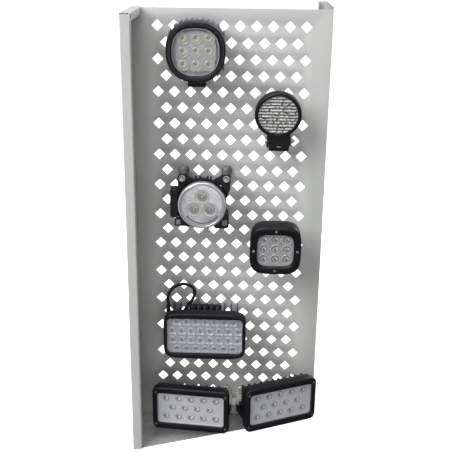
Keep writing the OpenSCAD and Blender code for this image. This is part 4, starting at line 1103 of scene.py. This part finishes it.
# a lighter disc off to the lower right of each olive ring: painted highlight, painted shade at upper left
turn_at(b, places, [(6.4, 9.2), (6.3, 8.5), (5.6, 8.2), (0, 8.0)], 28, 4, 1.1, -1.0)
turn_at(b, places, [(3.4, 8.5), (3.2, 7.8), (2.0, 7.5), (0, 7.4)], 24, 2, 0.5, -0.2)
turn_at(b, places, [(1.5, 8.0), (1.4, 7.3), (0, 7.1)], 16, 5, 2.4, 1.6)
optic_mats = [OPTIC, OLIVE, OPTIC_DARK, LAVENDER, OPTIC_RIM_AND_HIGHLIGHT, GLINT]
square_lamp.piece(b, "optics", optic_mats, "reflectors", "reflector_silver")
square_lamp.source_board(places, 4.5)

b = Build()
cup = Shape(94, 98, 3.9)
loft(b, cup.loops([(0, 14), (0, 15), (-0.5, 16), (0, 17), (0, 30), (-1.0, 34), (-3.5, 36), (-9, 36)]))
tips = Shape(86, 74, 3.9)


def square_fin(x):
    h = tips.half_height(x, -0.1)
    return [(35.1, -5 - h), (52, -5 - h), (58, 3 - h), (58, h - 13), (55, h - 8), (50, h - 5), (35.1, h - 5)]


fin_row(b, 8, 11, 2.0, 2.5, square_fin)
tongue = arc(8, -90, 90, 15, 70.5, 1.5) + [(35.1, 9.5), (35.1, -6.5)]
prism(b, tongue, "x", -14.5, 16.5, 0.5)
square_lamp.piece(b, "body", [CAST], "housing", "housing_black")


# ---------------------------------------------------------------- wide lamp
outer = Shape(160, 97.5, 6.5)
window = Shape(147, 74, corner=9, k=21)
wide = Lamp("wide_lamp", turned(JOINT["wide_lamp_tilt"], (-2, 70, -18.7)), outer, window)
wide.front_ring(20, 1.4, 2.6, 2.6)
wide.front_glass(0.4)

b = Build()
STEP_X = 18.2
places = grid([7, 8, 8, 7], STEP_X, 19.6)
low_row = [(x, z) for x, z in places if z < -25]
rest = [(x, z) for x, z in places if z > -25]
loft(b, window.loops([(1.9, 17.5), (1.9, 8.2), (0.4, 8.0), (-0.5, 12.6), (-1.0, 12.8)]))
cell = [(rounded(18, 19.4, 2.2, 6), 8.0), (rounded(17.1, 18.5, 2.2, 6), 8.0),
        (rounded(14.5, 15.9, 5.6, 6), 10.2), (rounded(9.5, 9.5, 4.7, 6), 12.0)]
for x, z in places:
    stack(b, cell, "y", (x, 0, z), caps=(False, True))
turn_at(b, places, [(6.4, 12.5), (6.4, 9.6), (5.8, 8.9), (4.4, 8.4), (0, 8.1)], 28, 1)
# the bottom row's eyes: darker half discs, painted shade
for x, z in low_row:
    prism(b, arc(4.6, 0, 180, 12, x, z - 1.6), "y", 7.7, 8.6, 0.3, 2)
turn_at(b, rest, [(3.8, 8.6), (3.6, 7.9), (2.2, 7.6), (0, 7.5)], 20, 3, 0, -0.8)
for x, z in rest:  # slanting glints beside the eyes in the middle of the lamp
    if 1 < (x + 64) / STEP_X < 5.5:
        for side in (-1, 1):
            glint = [(5.2 * side, 5.6), (6.6 * side, 5.6), (2.6 * side, -5.4), (1.4 * side, -5.4)]
            prism(b, shift(glint[::side], x, z), "y", 7.9, 8.5, 0.2, 4)
optic_mats = [LAVENDER_GLOSS, OPTIC_LAVENDER, EYE_WITH_PAINTED_SHADE, LAVENDER_SHADE, OPTIC]
wide.piece(b, "optics", optic_mats, "reflectors", "reflector_silver")
wide.source_board(places, 3.5)

b = Build()
cup = Shape(158, 89.5, 6.5)
loft(b, cup.loops([(0, 20), (0, 22), (-1.5, 24.5), (-3.0, 26), (-3.5, 29), (-6, 30), (-10, 30)]))
fin_line = [(29.2, -47), (54, -47), (60, -40), (60, 42), (57.5, 47.3), (29.2, 47.3)]
fin_row(b, 11, 12.5, 2.0, [0, 2, 2, 1.5, 1.5, 0], lambda x: fin_line)
block(b, (-33, 51, 30.6), (30, 59, 43.4), 1.2, axis="x", chamfer=0.5)
for k in range(5):
    x = -25 + 12 * k
    block(b, (x - 4, 50.7, 33.4), (x + 4, 51.2, 41.4), 0.8, 1, chamfer=0.2)
block(b, (-33, 29.2, 29.5), (30, 60, 31.4), 0.6, axis="x", chamfer=0.3)
block(b, (-80, 29.2, -4), (-69, 60, 14), 2.0, chamfer=0.6)
tongue = arc(8, -90, 90, 15, 70, -18.7) + [(29.2, -10.7), (29.2, -26.7)]
prism(b, tongue, "x", -17.5, 13.5, 0.5)
wide.piece(b, "body", [CAST, CAP_GREY], "housing", "housing_black")


# ---------------------------------------------------------------- left and right lamps
def corner_lamp(name, yaw, local):
    window = Shape(133.5, 68, corner=6)
    lamp = Lamp(name, turned(JOINT[name + "_yaw"], local, "Z", yaw), Shape(154, 95, corner=12), window)
    screws = corners(154 / 2 - 6.6, 95 / 2 - 11.3)
    lamp.front_ring(14, 1.6, 2.8, 3.2, screws, 3.1)
    b = Build()
    for x, z in screws:
        socket_head(b, (x, 0.45, z), 2.9, 1.5, 2.6, 1.0)
    lamp.piece(b, "front_screws", [DARK_STEEL], "screws", "screw_steel")
    lamp.front_glass(0.5)

    b = Build()
    places = grid([5, 4, 5], 25, 20.5)
    loft(b, window.loops([(1.9, 17.5), (1.9, 7.4), (0.4, 7.2), (-0.8, 8.6), (-1.6, 8.8)]))
    optic = [(8.2, 9.4), (8.2, 8.5), (7.8, 8.2), (7.2, 8.3), (6.8, 8.6), (5.9, 8.8), (5.0, 8.2), (4.0, 7.5),
             (2.6, 6.9), (0, 6.6)]
    turn_at(b, places, optic, 32, [0, 0, 0, 4, 4, 1, 1, 1, 1])
    # a dark disc off to the upper left of each optic: painted shade; the glint disc right: painted highlight
    turn_at(b, places, [(3.6, 8.4), (3.4, 6.9), (0, 6.5)], 20, 3, -1.3, 0.8)
    turn_at(b, places, [(2.1, 7.6), (1.8, 6.4), (0, 6.0)], 20, 2, 1.5, 0.9)
    lamp.piece(b, "optics", [PALE, OPTIC_GREY, GLINT, OPTIC_DARK, SMOKE], "reflectors", "reflector_silver")
    lamp.source_board(places, 4)

    b = Build()
    cup = Shape(150, 91, corner=11)
    loft(b, cup.loops([(0, 14), (0, 22), (-1.2, 25.5), (-3.5, 28), (-9, 28)]))
    fin_line = [(27.1, -43.4), (45, -43.4), (50, -37), (50, 30), (47.5, 33.5), (44, 35.4), (27.1, 35.4)]
    fin_row(b, 11, 13, 2.0, 2.0, lambda x: fin_line)
    x, y, z = local
    tongue = arc(10, 0, 180, 15, x, y) + [(x - 10, 27.5), (x + 10, 27.5)]
    prism(b, tongue, "z", z - 8, z + 8, 0.6)
    block(b, (x - 10, 27.6, z - 7.9), (x + 10, y - 12, max(z + 8, -95 / 4)), 1.5, chamfer=0.6)
    lamp.piece(b, "body", [CAST], "housing", "housing_black")


corner_lamp("left_lamp", -6, (62.7, 77, -31))
corner_lamp("right_lamp", 24, (-49.2, 90, -45))


# ---------------------------------------------------------------- floor, light
FLOOR_HALF = 14.0
FLOOR_Z = -0.0002
corner_points = [(x, z, FLOOR_Z) for x, z in box_poly(-FLOOR_HALF, -FLOOR_HALF, FLOOR_HALF, FLOOR_HALF)]
floor_mesh = bpy.data.meshes.new("floor")
floor_mesh.from_pydata(corner_points, [], [(0, 1, 2, 3)])
floor_mat, tree, shader = nodes_of("studio_floor")
feed(tree, shader, Base_Color=(0.80, 0.80, 0.80, 1), Roughness=0.9, Emission_Color=(1, 1, 1, 1),
     Emission_Strength=0.86)
floor_mesh.materials.append(floor_mat)
floor = bpy.data.objects.new("floor", floor_mesh)
floor.visible_diffuse = False
floor.visible_glossy = False
scene.collection.objects.link(floor)

# the world: pale and stronger overhead than underfoot
world = bpy.data.worlds.new("world")
scene.world = world
world.use_nodes = True
tree = world.node_tree
coord = tree.nodes.new("ShaderNodeTexCoord")
split = feed(tree, tree.nodes.new("ShaderNodeSeparateXYZ"), Vector=coord.outputs["Generated"])
strength = spread(tree, split.outputs["Z"], 0.12, 0.50, -1.0, 1.0)
feed(tree, tree.nodes["Background"], Strength=strength, Color=(0.97, 0.98, 1.0, 1))


def area(name, place, target, side, power):
    """A square area light that looks at its target."""
    data = bpy.data.lights.new(name, "AREA")
    data.shape, data.size, data.size_y = "RECTANGLE", side, side
    data.energy = power
    obj = bpy.data.objects.new(name, data)
    obj.location = place
    obj.rotation_mode = "QUATERNION"
    obj.rotation_quaternion = (Vector(target) - Vector(place)).to_track_quat("-Z", "Y")
    scene.collection.objects.link(obj)


area("key", (-2.2, -2.5, 2.9), (0, 0, 0.42), 2.4, 142)
area("above", (-0.3, -0.4, 3.4), (0, 0, 0.42), 2.0, 55)
area("fill_right", (0.3, -2.6, 0.6), (0.15, 0, 0.25), 1.4, 13)
area("rear", (1.6, 2.4, 1.9), (0, 0, 0.42), 2.2, 48)
scene.view_settings.view_transform = "Standard"
scene.view_settings.look = "None"
